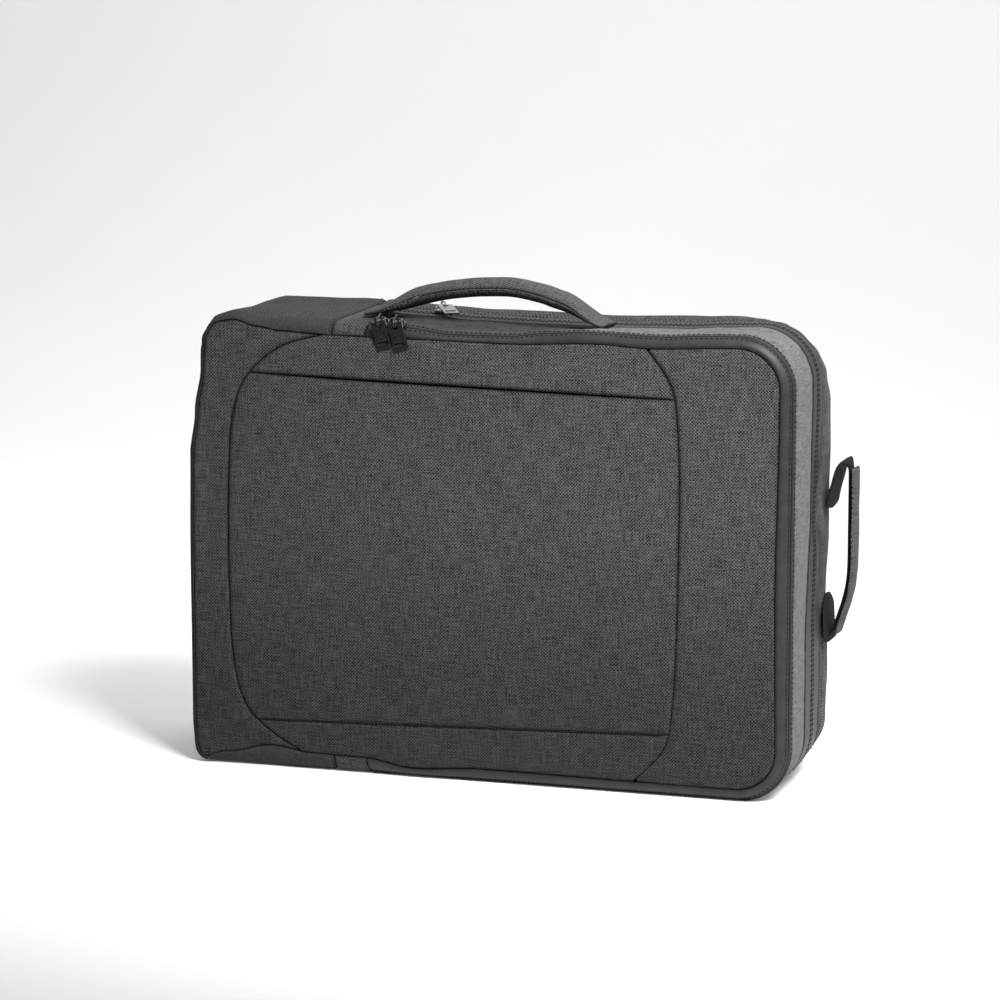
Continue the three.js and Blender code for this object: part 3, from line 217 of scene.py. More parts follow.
def back_inset(at):
    """The inset of the back panel's edge, which moves in where the back edge sinks."""
    return BACK_EDGE + max(0, sag(at, DEPTH / 2))


def side_point(at, cross):
    """A point of the side and the direction out of it."""
    angle = (1 - cross if cross <= 1 else max(0, cross - 2)) * math.pi / 2
    y, rim = lerp(FLAT_FRONT, FLAT_BACK, clamp(cross - 1)), 0.0
    if cross < 1:
        y = FLAT_FRONT - FRONT_EDGE * math.sin(angle)
        rim = FRONT_EDGE * follow(FRONT_SEAM, at % 4)
    elif cross > 2:
        y = FLAT_BACK + BACK_EDGE * math.sin(angle)
        rim = back_inset(at)
    x, z, out = outline(at, lerp(sag(at, y), rim, 1 - math.cos(angle)))
    tilt = (cross - clamp(cross, 1, 2)) * math.pi / 2
    normal = Vector((out[0] * math.cos(tilt), math.sin(tilt), out[1] * math.cos(tilt)))
    return Vector((x, y, z)), normal


def cross_at(y):
    return 1 + (y + DEPTH / 2 - FRONT_EDGE) / (DEPTH - FRONT_EDGE - BACK_EDGE)


def before_rear_zip(at):
    return cross_at(DEPTH * follow(DEPTH_SEAMS, at % 4, 1))


def after_rear_zip(at):
    return cross_at(DEPTH * follow(DEPTH_SEAMS, at % 4, 2))


# %% [markdown]
# ## Cloth that gives
# No sewn panel is perfectly even. Soft noise at a few sizes moves the surface by fractions of a
# millimetre, and close to a seam the stitches pull the cloth into short puckers. The noise is the
# same on every run, because it only depends on where a point is.

# %% Folds and puckers
BROAD, SMALL = 55.0, 17.0
PUCKER_LENGTH, PUCKER_REACH = 5.5, 6.0


def waves(point, seed, broad, small):
    """How far the cloth moves out at a point, from broad and small waves."""
    far = noise.noise(point / BROAD + Vector((seed, 0, 0)))
    near = noise.noise(point / SMALL + Vector((0, seed, 0)))
    return broad * far + small * near


def rolled(distance, roll, depth):
    """How deep the cloth lies near a seam: it rolls over the edge in a quarter round."""
    left = 1 - clamp(distance / roll)
    return depth * (1 - math.sqrt(max(0.0, 1 - left * left)))


def pucker(point, distance, height, seed):
    wave = noise.noise(point / PUCKER_LENGTH + Vector((0, 0, seed)))
    return height * wave * math.exp(-distance / PUCKER_REACH)


def ridge(point, start, end, width, height):
    """A fold: a soft ridge along the line from start to end."""
    line = end - start
    share = clamp((point - start).dot(line) / line.length_squared)
    distance = (point - start - line * share).length
    return height * math.exp(-((distance / width) ** 2)) * math.sin(math.pi * clamp(share, 0.03, 0.97))


# %% [markdown]
# ## From a grid to a panel
# A panel is a grid of surface points. It gets smooth faces, a map in metres for the weave, a number
# for painted shade (how close each point is to a seam, or how deep it lies in shade), and a wall on its inner
# side from Solidify.

# %% Making a piece
def ring_faces(rings, count, loop=False):
    """The faces between rings of points. Rings that don't loop get a cap at each end."""
    faces = []
    for i in range(rings if loop else rings - 1):
        onward = ((i + 1) % rings - i) * count
        for j in range(count):
            a, b = i * count + j, i * count + (j + 1) % count
            faces.append((a, b, b + onward, a + onward))
    if not loop:
        faces.append(tuple(range(count))[::-1])
        faces.append(tuple(range((rings - 1) * count, rings * count)))
    return faces


def new_mesh(name, points, faces, wraps=None, closeness=None):
    mesh = bpy.data.meshes.new(name)
    mesh.from_pydata([framed(point) for point in points], [], faces)
    mesh.polygons.foreach_set("use_smooth", [True] * len(mesh.polygons))
    if wraps:
        layer = mesh.uv_layers.new(name="cloth")
        for loop in mesh.loops:
            u, v = wraps[loop.vertex_index]
            layer.uv[loop.index].vector = (u * MM, v * MM)
    if closeness:
        # The 'seam' attribute holds painted shade: in the seams' grooves and in other places in shade.
        mesh.attributes.new("seam", "FLOAT", "POINT").data.foreach_set("value", closeness)
    mesh.update()
    piece = bpy.data.objects.new(name, mesh)
    bpy.context.collection.objects.link(piece)
    return piece


def settle(piece, finish, slot, *nodes):
    """Puts a finish on a piece, lets it ride on the bag and hides the nodes it stands for."""
    piece.data.materials.append(finish.material)
    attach(piece, "root")
    if nodes:
        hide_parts(*nodes)
    return piece


def panel(name, grid, wall, finish, slot, *nodes, fill=0.35):
    """A sewn panel from rows of (point, normal, u, v, painted shade: closeness to a seam or other shade)."""
    columns = len(grid[0])
    spots = [spot for row in grid for spot in row]
    faces = []
    for i in range(len(grid) - 1):
        for j in range(columns - 1):
            corner = i * columns + j
            faces.append((corner, corner + 1, corner + columns + 1, corner + columns))
    middle = (len(grid) // 2) * columns + columns // 2
    a, b, c = (spots[middle + step][0] for step in (0, 1, columns))
    if (b - a).cross(c - a).dot(spots[middle][1]) < 0:
        faces = [face[::-1] for face in faces]
    piece = new_mesh(name, [s[0] for s in spots], faces, [(s[2], s[3]) for s in spots], [s[4] for s in spots])
    shell = piece.modifiers.new("wall", "SOLIDIFY")
    shell.thickness = wall * MM
    shell.offset = -1
    settle(piece, finish, slot, *nodes)
    print(name, len(spots), "points")


# %% [markdown]
# ## Shader sums
# A finish is a material. Its sums are written as Python writes them: a small class wraps one socket,
# and adding or multiplying makes the Math nodes. Any other node comes from one method.

# %% Field and Finish
BANDS_PER_SCALE = 0.314  # a wave texture repeats this many metres apart at a scale of 1


class Field:
    """A value that changes over a surface: one output of a finish's nodes."""

    def __init__(self, finish, socket):
        self.finish, self.socket = finish, socket

    def maths(self, operation, *values):
        return self.finish.node("ShaderNodeMath", {"operation": operation}, *values)

    def __add__(self, other):
        return self.maths("ADD", self, other)

    def __sub__(self, other):
        return self.maths("SUBTRACT", self, other)

    def __mul__(self, other):
        return self.maths("MULTIPLY", self, other)

    def __rsub__(self, other):
        return self.maths("SUBTRACT", other, self)

    __radd__, __rmul__ = __add__, __mul__

    def between(self, low, high):
        """0 at low, 1 at high and even between them."""
        return self.finish.node("ShaderNodeMapRange", {"clamp": True}, self, low, high, 0.0, 1.0)


class Finish:
    """A material with one Principled shader."""

    def __init__(self, name, **constants):
        self.material = bpy.data.materials.new(name)
        self.material.use_nodes = True
        self.tree = self.material.node_tree
        self.shader = next(n for n in self.tree.nodes if n.type == "BSDF_PRINCIPLED")
        for socket, value in constants.items():
            self.shader.inputs[socket.replace("_", " ")].default_value = value

    def node(self, kind, settings, *values, out=0, **named):
        """Makes a node, sets it, and fills its sockets in order or by name."""
        made = self.tree.nodes.new(kind)
        for key, value in settings.items():
            setattr(made, key, value)
        sockets = [s for s in made.inputs if s.enabled]
        pairs = list(zip(sockets, values))
        pairs += [(made.inputs[key.replace("_", " ")], value) for key, value in named.items()]
        for socket, value in pairs:
            if isinstance(value, Field):
                self.tree.links.new(value.socket, socket)
            elif value is not None:
                socket.default_value = value
        return Field(self, [s for s in made.outputs if s.enabled][out])

    def stretched(self, coordinates, *scale):
        """Coordinates multiplied along each axis."""
        return self.node("ShaderNodeVectorMath", {"operation": "MULTIPLY"}, coordinates, scale)

    def speckle(self, coordinates, size, detail):
        """Noise with spots of about a size in metres, from 0 to 1."""
        return self.node("ShaderNodeTexNoise", {}, Vector=coordinates, Scale=1 / size, Detail=detail)

    def bands(self, coordinates, axis, pitch):
        """Even waves along an axis, from 0 to 1, with slightly uneven spacing."""
        return self.node(
            "ShaderNodeTexWave", {"bands_direction": axis}, Vector=coordinates, Scale=BANDS_PER_SCALE / pitch,
            Distortion=1.6, Detail=2.0, Detail_Scale=0.6,
        )

    def mixed(self, share, a, b):
        """One colour turning into another."""
        return self.node("ShaderNodeMix", {"data_type": "RGBA"}, share, a, b)

    def feed(self, **sockets):
        for name, value in sockets.items():
            self.tree.links.new(value.socket, self.shader.inputs[name.replace("_", " ")])

    def bumped(self, height, distance, strength=1.0):
        """Turns a height in units of distance into a bump of the surface."""
        bump = self.node("ShaderNodeBump", {}, Height=height, Strength=strength, Distance=distance)
        self.feed(Normal=bump)

    def map(self):
        """The piece's own map, in metres."""
        return self.node("ShaderNodeUVMap", {"uv_map": "cloth"})

    def place(self):
        """The place on the object, in metres."""
        return self.node("ShaderNodeTexCoord", {}, out=3)

    def seam(self):
        """How close the place is to a seam, from 0 to 1."""
        # The painted shade in the 'seam' attribute, from 0 to 1: near a seam, and in other places in shade.
        return self.node("ShaderNodeAttribute", {"attribute_name": "seam"}, out=2)


def grey(value):
    return (value, value, value, 1.0)


# %% [markdown]
# ## Melange cloth
# The main cloth is woven from yarns spun of black, grey and nearly white fibres. Seen close, warp and
# weft cross over and under each other in a fine checker, and lighter and darker lengths of yarn
# run through it both ways. Two waves give the weave and two stretched noises the lengths of yarn.

# %% Melange finish
PITCH, YARN, RUN = 0.0022, 0.0008, 0.014
FLECK, CLOUD, RELIEF = 0.0009, 0.02, 0.0003


def melange(name, dark, light, seam_shade=0.85):
    finish = Finish(name, Sheen_Weight=0.02, Sheen_Roughness=0.5, Specular_IOR_Level=0.1)
    flat = finish.map()
    over = finish.bands(flat, "X", PITCH) - 0.5
    under = finish.bands(flat, "Y", PITCH) - 0.5
    warp = finish.speckle(finish.stretched(flat, YARN / RUN, 1, 1), YARN, 1.0)
    weft = finish.speckle(finish.stretched(flat, 1, YARN / RUN, 1), YARN, 1.0)
    fleck = finish.speckle(flat, FLECK, 1.0)
    cloud = finish.speckle(flat, CLOUD, 2.0)
    weave = over * under * 2.0 + 0.5
    runs = (warp + weft).between(0.7, 1.3)
    tone = (weave * 0.5 + runs * 0.31 + fleck.between(0.25, 0.75) * 0.4 + cloud * 0.04).between(0.32, 0.94)
    body = finish.mixed(tone, grey(dark), grey(light))
    # Painted shade: the 'seam' attribute darkens the cloth towards near black in seams and other shaded
    # places.
    finish.feed(Base_Color=finish.mixed(finish.seam() * seam_shade, body, grey(dark * 0.3)))
    finish.feed(Roughness=0.98 - tone * 0.1)
    finish.bumped(weave * 0.8 + fleck * 0.5, RELIEF, 0.7)
    return finish


FRONT_CLOTH = melange("melange_front_cloth", 0.002, 0.094)
# The same melange painted lighter for the middle gusset: painted light, as that side faces the lights.
LIT_GUSSET_CLOTH = melange("melange_cloth_painted_light", 0.004, 0.2, 0.75)
# The same melange painted darker than the middle gusset's for the rear gusset: painted shade, as it turns
# away from the light.
SHADED_REAR_CLOTH = melange("melange_cloth_painted_shade", 0.003, 0.11, 0.75)
HANDLE_CLOTH = melange("melange_handle_cloth", 0.003, 0.105, 0.6)

# %% [markdown]
# ## Smooth cloth and coated tape
# The back is a plain close weave with a slight sheen. The zip tape has a thin rubbery coat, so its
# roughness is lower, and it takes a soft band of light where it turns.

# %% Smooth finishes
def smooth_cloth(name, dark, light, roughness=0.72):
    finish = Finish(name, Sheen_Weight=0.04, Sheen_Roughness=0.4, Specular_IOR_Level=0.2)
    flat = finish.map()
    threads = finish.speckle(finish.stretched(flat, 0.25, 1, 1), 0.0005, 1.0)
    cross = finish.speckle(finish.stretched(flat, 1, 0.25, 1), 0.0005, 1.0)
    cloud = finish.speckle(flat, CLOUD, 3.0)
    weave = (threads + cross).between(0.75, 1.25)
    tone = (weave * 0.6 + cloud * 0.4).between(0.1, 0.9)
    body = finish.mixed(tone, grey(dark), grey(light))
    # Painted shade: the 'seam' attribute darkens the cloth near the seams.
    finish.feed(Base_Color=finish.mixed(finish.seam() * 0.5, body, grey(dark * 0.4)))
    finish.feed(Roughness=roughness + cloud * 0.1)
    finish.bumped(weave, 0.00012, 0.6)
    return finish


def coated(name, dark, light, roughness=0.42):
    finish = Finish(name, Specular_IOR_Level=0.3)
    flat = finish.map()
    grain = finish.speckle(flat, FLECK, 3.0)
    cloud = finish.speckle(flat, 0.012, 3.0)
    body = finish.mixed(cloud.between(0.3, 0.7), grey(dark), grey(light))
    # Painted shade: the 'seam' attribute turns the tape nearly black in the seams beside it.
    finish.feed(Base_Color=finish.mixed(finish.seam() * 0.97, body, grey(dark * 0.1)))
    finish.feed(Roughness=roughness + grain * 0.12 + cloud * 0.08)
    finish.bumped(grain, 0.00008, 0.6)
    return finish


BASE_CLOTH = melange("close_base_cloth", 0.01, 0.056, 0.8)
BACK_CLOTH = smooth_cloth("smooth_back_cloth", 0.018, 0.034, 0.8)
FRONT_TAPE = coated("coated_front_tape", 0.014, 0.025)
REAR_TAPE = coated("coated_rear_tape", 0.016, 0.026, 0.5)

# %% [markdown]
# ## Mesh, webbing, thread and metal
# The underside of the top handle is a knitted mesh with small dark holes, drawn with Voronoi cells.
# The webbing has ribs along it. The sliders are plated black at the front and bright at the rear.

# %% Small finishes
RIB_PITCH, KNIT_CELL = 0.0014, 0.0021


def mesh_knit(name):
    finish = Finish(name, Specular_IOR_Level=0.1)
    cells = finish.node("ShaderNodeTexVoronoi", {}, Vector=finish.map(), Scale=1 / KNIT_CELL, Randomness=0.35)
    knit = cells.between(0.12, 0.5)
    finish.feed(Base_Color=finish.mixed(knit, grey(0.006), grey(0.05)))
    finish.feed(Roughness=0.9 - knit * 0.1)
    finish.bumped(knit, 0.0006, 0.9)
    return finish


def ribbed(name, dark, light):
    finish = Finish(name, Specular_IOR_Level=0.12)
    flat = finish.map()
    ribs = finish.node(
        "ShaderNodeTexWave", {"bands_direction": "Y"}, Vector=flat,
        Scale=BANDS_PER_SCALE / RIB_PITCH, Distortion=0.6
    )
    fine = finish.speckle(finish.stretched(flat, 1, 0.5, 1), 0.0006, 2.0)
    tone = (ribs * 0.6 + fine * 0.5).between(0.15, 0.95)
    finish.feed(Base_Color=finish.mixed(tone, grey(dark), grey(light)))
    finish.feed(Roughness=0.86 - fine * 0.12)
    finish.bumped(tone, RELIEF, 0.8)
    return finish


def thread(name, dark, light):
    finish = Finish(name, Specular_IOR_Level=0.15)
    fibre = finish.speckle(finish.place(), 0.0004, 2.0)
    finish.feed(Base_Color=finish.mixed(fibre, grey(dark), grey(light)))
    finish.feed(Roughness=0.8 - fibre * 0.2)
    return finish


def plated(name, dark, light, roughness, metallic):
    finish = Finish(name, Metallic=metallic, Specular_IOR_Level=0.5)
    wear = finish.speckle(finish.place(), 0.0016, 3.0)
    finish.feed(Base_Color=finish.mixed(wear.between(0.35, 0.75), grey(dark), grey(light)))
    finish.feed(Roughness=roughness + wear * 0.14)
    return finish


KNIT = mesh_knit("knitted_mesh")
WEB = ribbed("black_webbing", 0.003, 0.012)
SEAM_THREAD = thread("seam_thread", 0.035, 0.075)
DARK_THREAD = thread("dark_thread", 0.003, 0.008)
COIL = thread("coil_teeth", 0.003, 0.009)
BLACK_METAL = plated("black_plating", 0.003, 0.008, 0.2, 0.0)
BRIGHT_METAL = plated("bright_plating", 0.3, 0.55, 0.2, 1.0)
print(len(bpy.data.materials), "finishes")

# %% [markdown]
# ## Strips round the side
# The zip tapes, gussets and the base are strips that follow the outline. Rows lie a little over two
# millimetres apart along the bag, and closer together near the seams, where the cloth rolls over.

# %% Strips
ZIP_START_X = 126 - WIDTH / 2
BASE_EDGE_X = 103 - WIDTH / 2
ZIP_SLANT = 3.0
ROW_STEP = 2.4
EDGE_STEPS = (0, 0.35, 0.8, 1.4, 2.2, 3.2, 4.6)


def spread(width, step, reach=1.0):
    """Places over a width, close together near both ends."""
    edge = [min(d * reach, width / 3) for d in EDGE_STEPS]
    count = max(2, round((width - 2 * edge[-1]) / step))
    inner = [lerp(edge[-1], width - edge[-1], i / count) for i in range(1, count)]
    return [max(SEAM_SLIT, d) for d in edge] + inner + [width - max(SEAM_SLIT, d) for d in reversed(edge)]


class Strip:
    """A strip between two lines over the side, from one place of the outline to another."""

    def __init__(self, start, end, near, far, broad, small, puckers, seed, depth=2.2, roll=4.0,
                 groove=1.1, shade=lambda point: 0.0, folds=()):
        self.start, self.end, self.near, self.far = start, end, near, far
        self.broad, self.small, self.puckers, self.seed = broad, small, puckers, seed
        self.depth, self.roll, self.groove, self.shade, self.folds = depth, roll, groove, shade, folds

    def width(self, at):
        near, far = self.near(at), self.far(at)
        return running_length([side_point(at, lerp(near, far, i / 6))[0] for i in range(7)])[-1]

    def spot(self, at, share, width, to_end):
        """A point on the strip, share across it, with its normal and its closeness to a seam."""
        point, normal = side_point(at, lerp(self.near(at), self.far(at), share))
        distance = min(share * width, (1 - share) * width, to_end)
        sunk = rolled(distance, min(self.roll, width / 2.5), self.depth)
        lift = waves(point, self.seed, self.broad, self.small) * smooth(distance / 14)
        lift += pucker(point, distance, self.puckers, self.seed)
        lift += sum(ridge(point, *fold) for fold in self.folds)
        return point + normal * (lift - sunk), normal, math.exp(-distance / self.groove)

    def grid(self, step=3.4):
        line = [side_point(lerp(self.start(1), self.end(1), i / 200), 1.2)[0] for i in range(201)]
        length = running_length(line)[-1]
        places = spread(length, ROW_STEP, 0.8)
        middle = 0.5 * (self.start(1) + self.end(1))
        shares = [place / self.width(middle) for place in spread(self.width(middle), step)]
        grid = []
        for place in places:
            row = []
            for share in shares:
                cross = lerp(self.near(middle), self.far(middle), share)
                at = lerp(self.start(cross), self.end(cross), place / length)
                width = self.width(at) if not row else width
                point, normal, close = self.spot(at, share, width, min(place, length - place))
                # Painted shade: the deeper of the seam's shade and the strip's own shade mask.
                row.append((point, normal, place, share * width, max(close, self.shade(point))))
            grid.append(row)
        return grid


def same(value):
    return lambda _: value


def zip_line(side, sign):
    """Where the zips start: a little later at the front of the strip than at its back."""
    def at(cross):
        x = ZIP_START_X + ZIP_SLANT * (cross - math.floor(cross))
        return (at_top(x) if side == TOP else at_bottom(x)) + sign * SEAM_GAP / 2 / side_length(side)
    return at


BASE_TOP, BASE_BOTTOM = at_top(BASE_EDGE_X), at_bottom(BASE_EDGE_X)
GUSSET_ENDS = same(BASE_TOP), same(BASE_BOTTOM)
ZIP_ENDS = zip_line(TOP, 1), zip_line(BOTTOM, -1)
print("zip runs from", round(ZIP_ENDS[0](0), 3), "to", round(ZIP_ENDS[1](0), 3))

# %% [markdown]
# ## Gussets
# The middle gusset carries the top handle, and the rear one the side handle. Beside the rear slider
# the cloth is pulled into two diagonal folds, which are added as soft ridges.

# %% Middle and rear gusset
def handle_shade(point):
    """Under the top handle the cloth is in its shade."""
    along = smooth((point.x + 120) / 30) * smooth((78 - point.x) / 40)
    return 0.85 * smooth((point.z - 298) / 8) * along


def top_shade(point):
    """The rear gusset is darker along the top, which turns away from the light."""
    return 0.45 * smooth((point.z - 285) / 15)


middle = Strip(
    *GUSSET_ENDS, same(1), before_rear_zip,
    broad=1.1, small=0.3, puckers=0.3, seed=3.0, groove=1.5, shade=handle_shade,
    folds=[  # start, end, width, height
        (Vector((-48, -22, 309)), Vector((26, -40, 305)), 3.2, 1.7),
        (Vector((-30, -8, 307)), Vector((44, -30, 306)), 3.6, 1.5),
        (Vector((58, -44, 308)), Vector((104, -20, 308)), 4.0, 1.2),
        (Vector((84, -40, 308)), Vector((140, -14, 309)), 4.5, -1.0),
    ],
)
panel("middle_gusset_cloth", middle.grid(), 2.0, LIT_GUSSET_CLOTH, "melange_cloth", "middle_gusset")

rear = Strip(
    *GUSSET_ENDS, after_rear_zip, same(3),
    broad=1.2, small=0.25, puckers=0.3, seed=5.0, groove=2.0, shade=top_shade,
    folds=[
        (Vector((-96, 34, 311)), Vector((-40, 30, 310)), 4.0, 1.4),
        (Vector((-30, 32, 310)), Vector((60, 36, 309)), 5.0, 1.2),
    ],
)
panel("rear_gusset_cloth", rear.grid(), 2.0, SHADED_REAR_CLOTH, "melange_cloth", "rear_gusset")

# %% [markdown]
# ## Zip tapes
# Each zip is two coated tapes that meet over the coil. The tapes are thin, so their edges are
# tight, and their surface is calm: it only follows the waves of the cloth beside them.

# %% Zip tapes
FRONT_COIL, REAR_COIL = 0.68, 0.5
TAPE = dict(broad=0.25, small=0.05, puckers=0.12, seed=7.0, depth=0.9, roll=1.6)


def along_rear_coil(at):
    return lerp(before_rear_zip(at), after_rear_zip(at), REAR_COIL)


front_tape = Strip(*ZIP_ENDS, same(0), same(FRONT_COIL), **TAPE, groove=1.5)
narrow_tape = Strip(*ZIP_ENDS, same(FRONT_COIL), same(1), **TAPE, groove=1.9)
rear_front_tape = Strip(*ZIP_ENDS, before_rear_zip, along_rear_coil, **TAPE, groove=2.0)
rear_back_tape = Strip(*ZIP_ENDS, along_rear_coil, after_rear_zip, **TAPE, groove=2.0)
for name, tape, step, finish, node in [
    ("front_zip_wide_tape", front_tape, 1.6, FRONT_TAPE, "front_zip_front_tape"),
    ("front_zip_narrow_tape", narrow_tape, 1.6, FRONT_TAPE, "front_zip_rear_tape"),
    ("rear_zip_near_tape", rear_front_tape, 2.2, REAR_TAPE, "rear_zip_front_tape"),
    ("rear_zip_far_tape", rear_back_tape, 2.2, REAR_TAPE, "rear_zip_rear_tape"),
]:
    panel(name, tape.grid(step), 1.0, finish, "coated_zip_tape", node, fill=0.1)

# %% [markdown]
# ## Zip ends
# Small pieces of the main cloth close the gap between each zip's start and the base.

# %% Zip ends
END = dict(broad=0.5, small=0.2, puckers=0.3, seed=9.0, depth=1.4, roll=2.5)
TOP_ENDS = GUSSET_ENDS[0], zip_line(TOP, -1)
BOTTOM_ENDS = zip_line(BOTTOM, 1), GUSSET_ENDS[1]
for name, ends, near, far in [
    ("front_zip_end_top", TOP_ENDS, same(0), same(1)),
    ("front_zip_end_bottom", BOTTOM_ENDS, same(0), same(1)),
    ("rear_zip_end_top", TOP_ENDS, before_rear_zip, after_rear_zip),
    ("rear_zip_end_bottom", BOTTOM_ENDS, before_rear_zip, after_rear_zip),
]:
    grid = Strip(*ends, near, far, **END).grid(2.0)
    panel(name + "_cloth", grid, 1.2, FRONT_CLOTH, "melange_cloth", name, fill=0.2)

# %% [markdown]
# ## Base
# The base wraps round the short left side and the first part of the top and bottom. Its yarns
# differ less in tone than the front's, so it looks plain and dark. Folds run in from its corner.

# %% Base
base = Strip(
    same(BASE_BOTTOM), same(4 + BASE_TOP), same(0), same(3),
    broad=1.4, small=0.25, puckers=0.25, seed=11.0,
    folds=[
        (Vector((-204, -52, 300)), Vector((-166, -30, 311)), 3.0, 1.2),
        (Vector((-200, -40, 306)), Vector((-176, 10, 311)), 6.0, -0.9),
        (Vector((-150, -44, 310)), Vector((-112, -10, 311)), 5.0, 0.9),
    ],
)
panel("base_cloth", base.grid(4.2), 2.0, BASE_CLOTH, "smooth_cloth", "base_panel")

# %% [markdown]
# ## The front
# The front is cut into a left wing, a right wing and three middle panels. All lie on one gently
# bulging face. The two curved seams are smooth lines through the points of their tables.

# %% Seam lines on the front
def front_point(x, z):
    u = clamp(x / (WIDTH / 2 - FRONT_EDGE), -1, 1)
    v = clamp((z - HEIGHT / 2) / (HEIGHT / 2 - FRONT_EDGE), -1, 1)
    return Vector((x, -DEPTH / 2 - FRONT_BULGE * (1 - u**4) * (1 - v**4), z))


def front_rim(at):
    x, z, _ = outline(at, FRONT_EDGE * follow(FRONT_SEAM, at % 4))
    return Vector((x, 0, z))


class Curve:
    """A smooth line through points, read by its share of the length."""

    def __init__(self, points, steps=24):
        ends = [2 * points[0] - points[1], *points, 2 * points[-1] - points[-2]]
        self.spots = []
        for p0, p1, p2, p3 in zip(ends, ends[1:], ends[2:], ends[3:]):
            d0, d1, d2 = ((b - a).length ** 0.5 for a, b in ((p0, p1), (p1, p2), (p2, p3)))
            t1 = ((p1 - p0) / d0 - (p2 - p0) / (d0 + d1) + (p2 - p1) / d1) * d1
            t2 = ((p2 - p1) / d1 - (p3 - p1) / (d1 + d2) + (p3 - p2) / d2) * d1
            for i in range(steps):
                t = i / steps
                curve = (2 * t**3 - 3 * t**2 + 1) * p1 + (t**3 - 2 * t**2 + t) * t1
                self.spots.append(curve + (3 * t**2 - 2 * t**3) * p2 + (t**3 - t**2) * t2)
        self.spots.append(points[-1].copy())
        self.marks = running_length(self.spots)
        self.length = self.marks[-1]

    def at(self, share):
        wanted = clamp(share) * self.length
        low, high = 0, len(self.marks) - 1
        while high - low > 1:
            half = (low + high) // 2
            if self.marks[half] <= wanted:
                low = half
            else:
                high = half
        part = (wanted - self.marks[low]) / (self.marks[high] - self.marks[low])
        return self.spots[low].lerp(self.spots[high], part)

    def by_rows(self, share):
        """A point by its share of the rows, and the direction there."""
        def spot(share):
            place = clamp(share) * (len(self.spots) - 1)
            low = min(int(place), len(self.spots) - 2)
            return self.spots[low].lerp(self.spots[low + 1], place - low)
        return spot(share), spot(share + 0.003) - spot(share - 0.003)


BLUNT = 0.08


def wing_line(rows, tip_at, toe_at):
    """A wing's curved seam, which starts and ends on the seam round the front."""
    line = Curve([Vector((across * WIDTH, 0, up * HEIGHT)) for across, up in rows])
    tip, toe = front_rim(tip_at) - line.at(0), front_rim(toe_at) - line.at(1)

    def at(share):
        blunt = tip * clamp(1 - share / BLUNT) + toe * clamp(1 - (1 - share) / BLUNT)
        return line.at(share) + blunt
    return at


LEFT_TIP, LEFT_TOE = LEFT_WING_SEAM[0][0] * WIDTH, LEFT_WING_SEAM[-1][0] * WIDTH
RIGHT_TIP, RIGHT_TOE = RIGHT_WING_SEAM[0][0] * WIDTH, RIGHT_WING_SEAM[-1][0] * WIDTH
left_line = wing_line(LEFT_WING_SEAM, at_top(LEFT_TIP), at_bottom(LEFT_TOE))
right_line = wing_line(RIGHT_WING_SEAM, at_top(RIGHT_TIP), at_bottom(RIGHT_TOE))


def share_at_height(line, height):
    low, high = 0.0, 1.0
    for _ in range(30):
        half = (low + high) / 2
        low, high = (half, high) if line(half).z > height else (low, half)
    return low


MOUTH = share_at_height(left_line, 0.881 * HEIGHT), share_at_height(right_line, 0.8605 * HEIGHT)
FOOT = share_at_height(left_line, 0.108 * HEIGHT), share_at_height(right_line, 0.138 * HEIGHT)
print("pocket mouth at", [round(s, 3) for s in MOUTH], "foot at", [round(s, 3) for s in FOOT])

# %% [markdown]
# ## A padded face on the front
# Each front panel is stretched between four lines. Its edges roll over into the seams, puckers run
# in from the stitches, and wide waves keep the light from lying too evenly on it.

# %% Front panels
FACE_STEP = 2.6
DIM_BELOW, DIM_REACH = 205.0, 170.0


def face_point(point, distance, seed, broad=1.2, small=0.22, puckers=0.3, roll=4.2, depth=2.4):
    surface = front_point(point.x, point.z)
    lift = waves(surface, seed, broad, small) * smooth(distance / 22)
    lift += pucker(surface, distance, puckers, seed) * smooth(distance / 2.5) - rolled(distance, roll, depth)
    return surface + FORWARD * lift


def face_shade(point, distance):
    """The seam's own shade, and a deeper tone towards the floor, where the cloth gets little light."""
    turned = smooth((point.x + WIDTH / 2 - 3) / 5)  # at the left edge the seam faces away from the front
    turned = max(turned, smooth((point.z - 262) / 12), smooth((25 - point.z) / 10))
    return max(turned * math.exp(-distance / 1.1), 0.5 * smooth((DIM_BELOW - point.z) / DIM_REACH))


def face_spot(point, distance, seed, **shape):
    """A spot of a panel's grid: its point, normal, place on the weave and painted shade from face_shade."""
    return face_point(point, distance, seed, **shape), FORWARD, point.x, point.z, face_shade(point, distance)


def between_lines(top, bottom, left, right, seed, **shape):
    """A grid between four lines, each read by a share from 0 to 1."""
    width, height = (top(0.5) - top(0)).length * 2, (left(1) - left(0)).length
    across = [place / width for place in spread(width, FACE_STEP)]
    down = [place / height for place in spread(height, FACE_STEP)]
    corners = top(0), top(1), bottom(0), bottom(1)
    tops, bottoms = [top(u) for u in across], [bottom(u) for u in across]
    grid = []
    for v in down:
        row = []
        a, b = left(v), right(v)
        for u, high, low in zip(across, tops, bottoms):
            point = high * (1 - v) + low * v + a * (1 - u) + b * u
            point -= corners[0] * ((1 - u) * (1 - v)) + corners[1] * (u * (1 - v))
            point -= corners[2] * ((1 - u) * v) + corners[3] * (u * v)
            distance = min(u * width, (1 - u) * width, v * height, (1 - v) * height)
            row.append(face_spot(point, distance, seed, **shape))
        grid.append(row)
    return grid


def part_of(line, start, end):
    """The stretch of a line between two of its shares, as a line of its own."""
    return lambda share: line(lerp(start, end, share))


def chord(a, b):
    return lambda share: a.lerp(b, share)


mouth_line = chord(left_line(MOUTH[0]), right_line(MOUTH[1]))
foot_line = chord(left_line(FOOT[0]), right_line(FOOT[1]))
MOUTH_GAP = 1.1
POCKET_SEED = 21.0


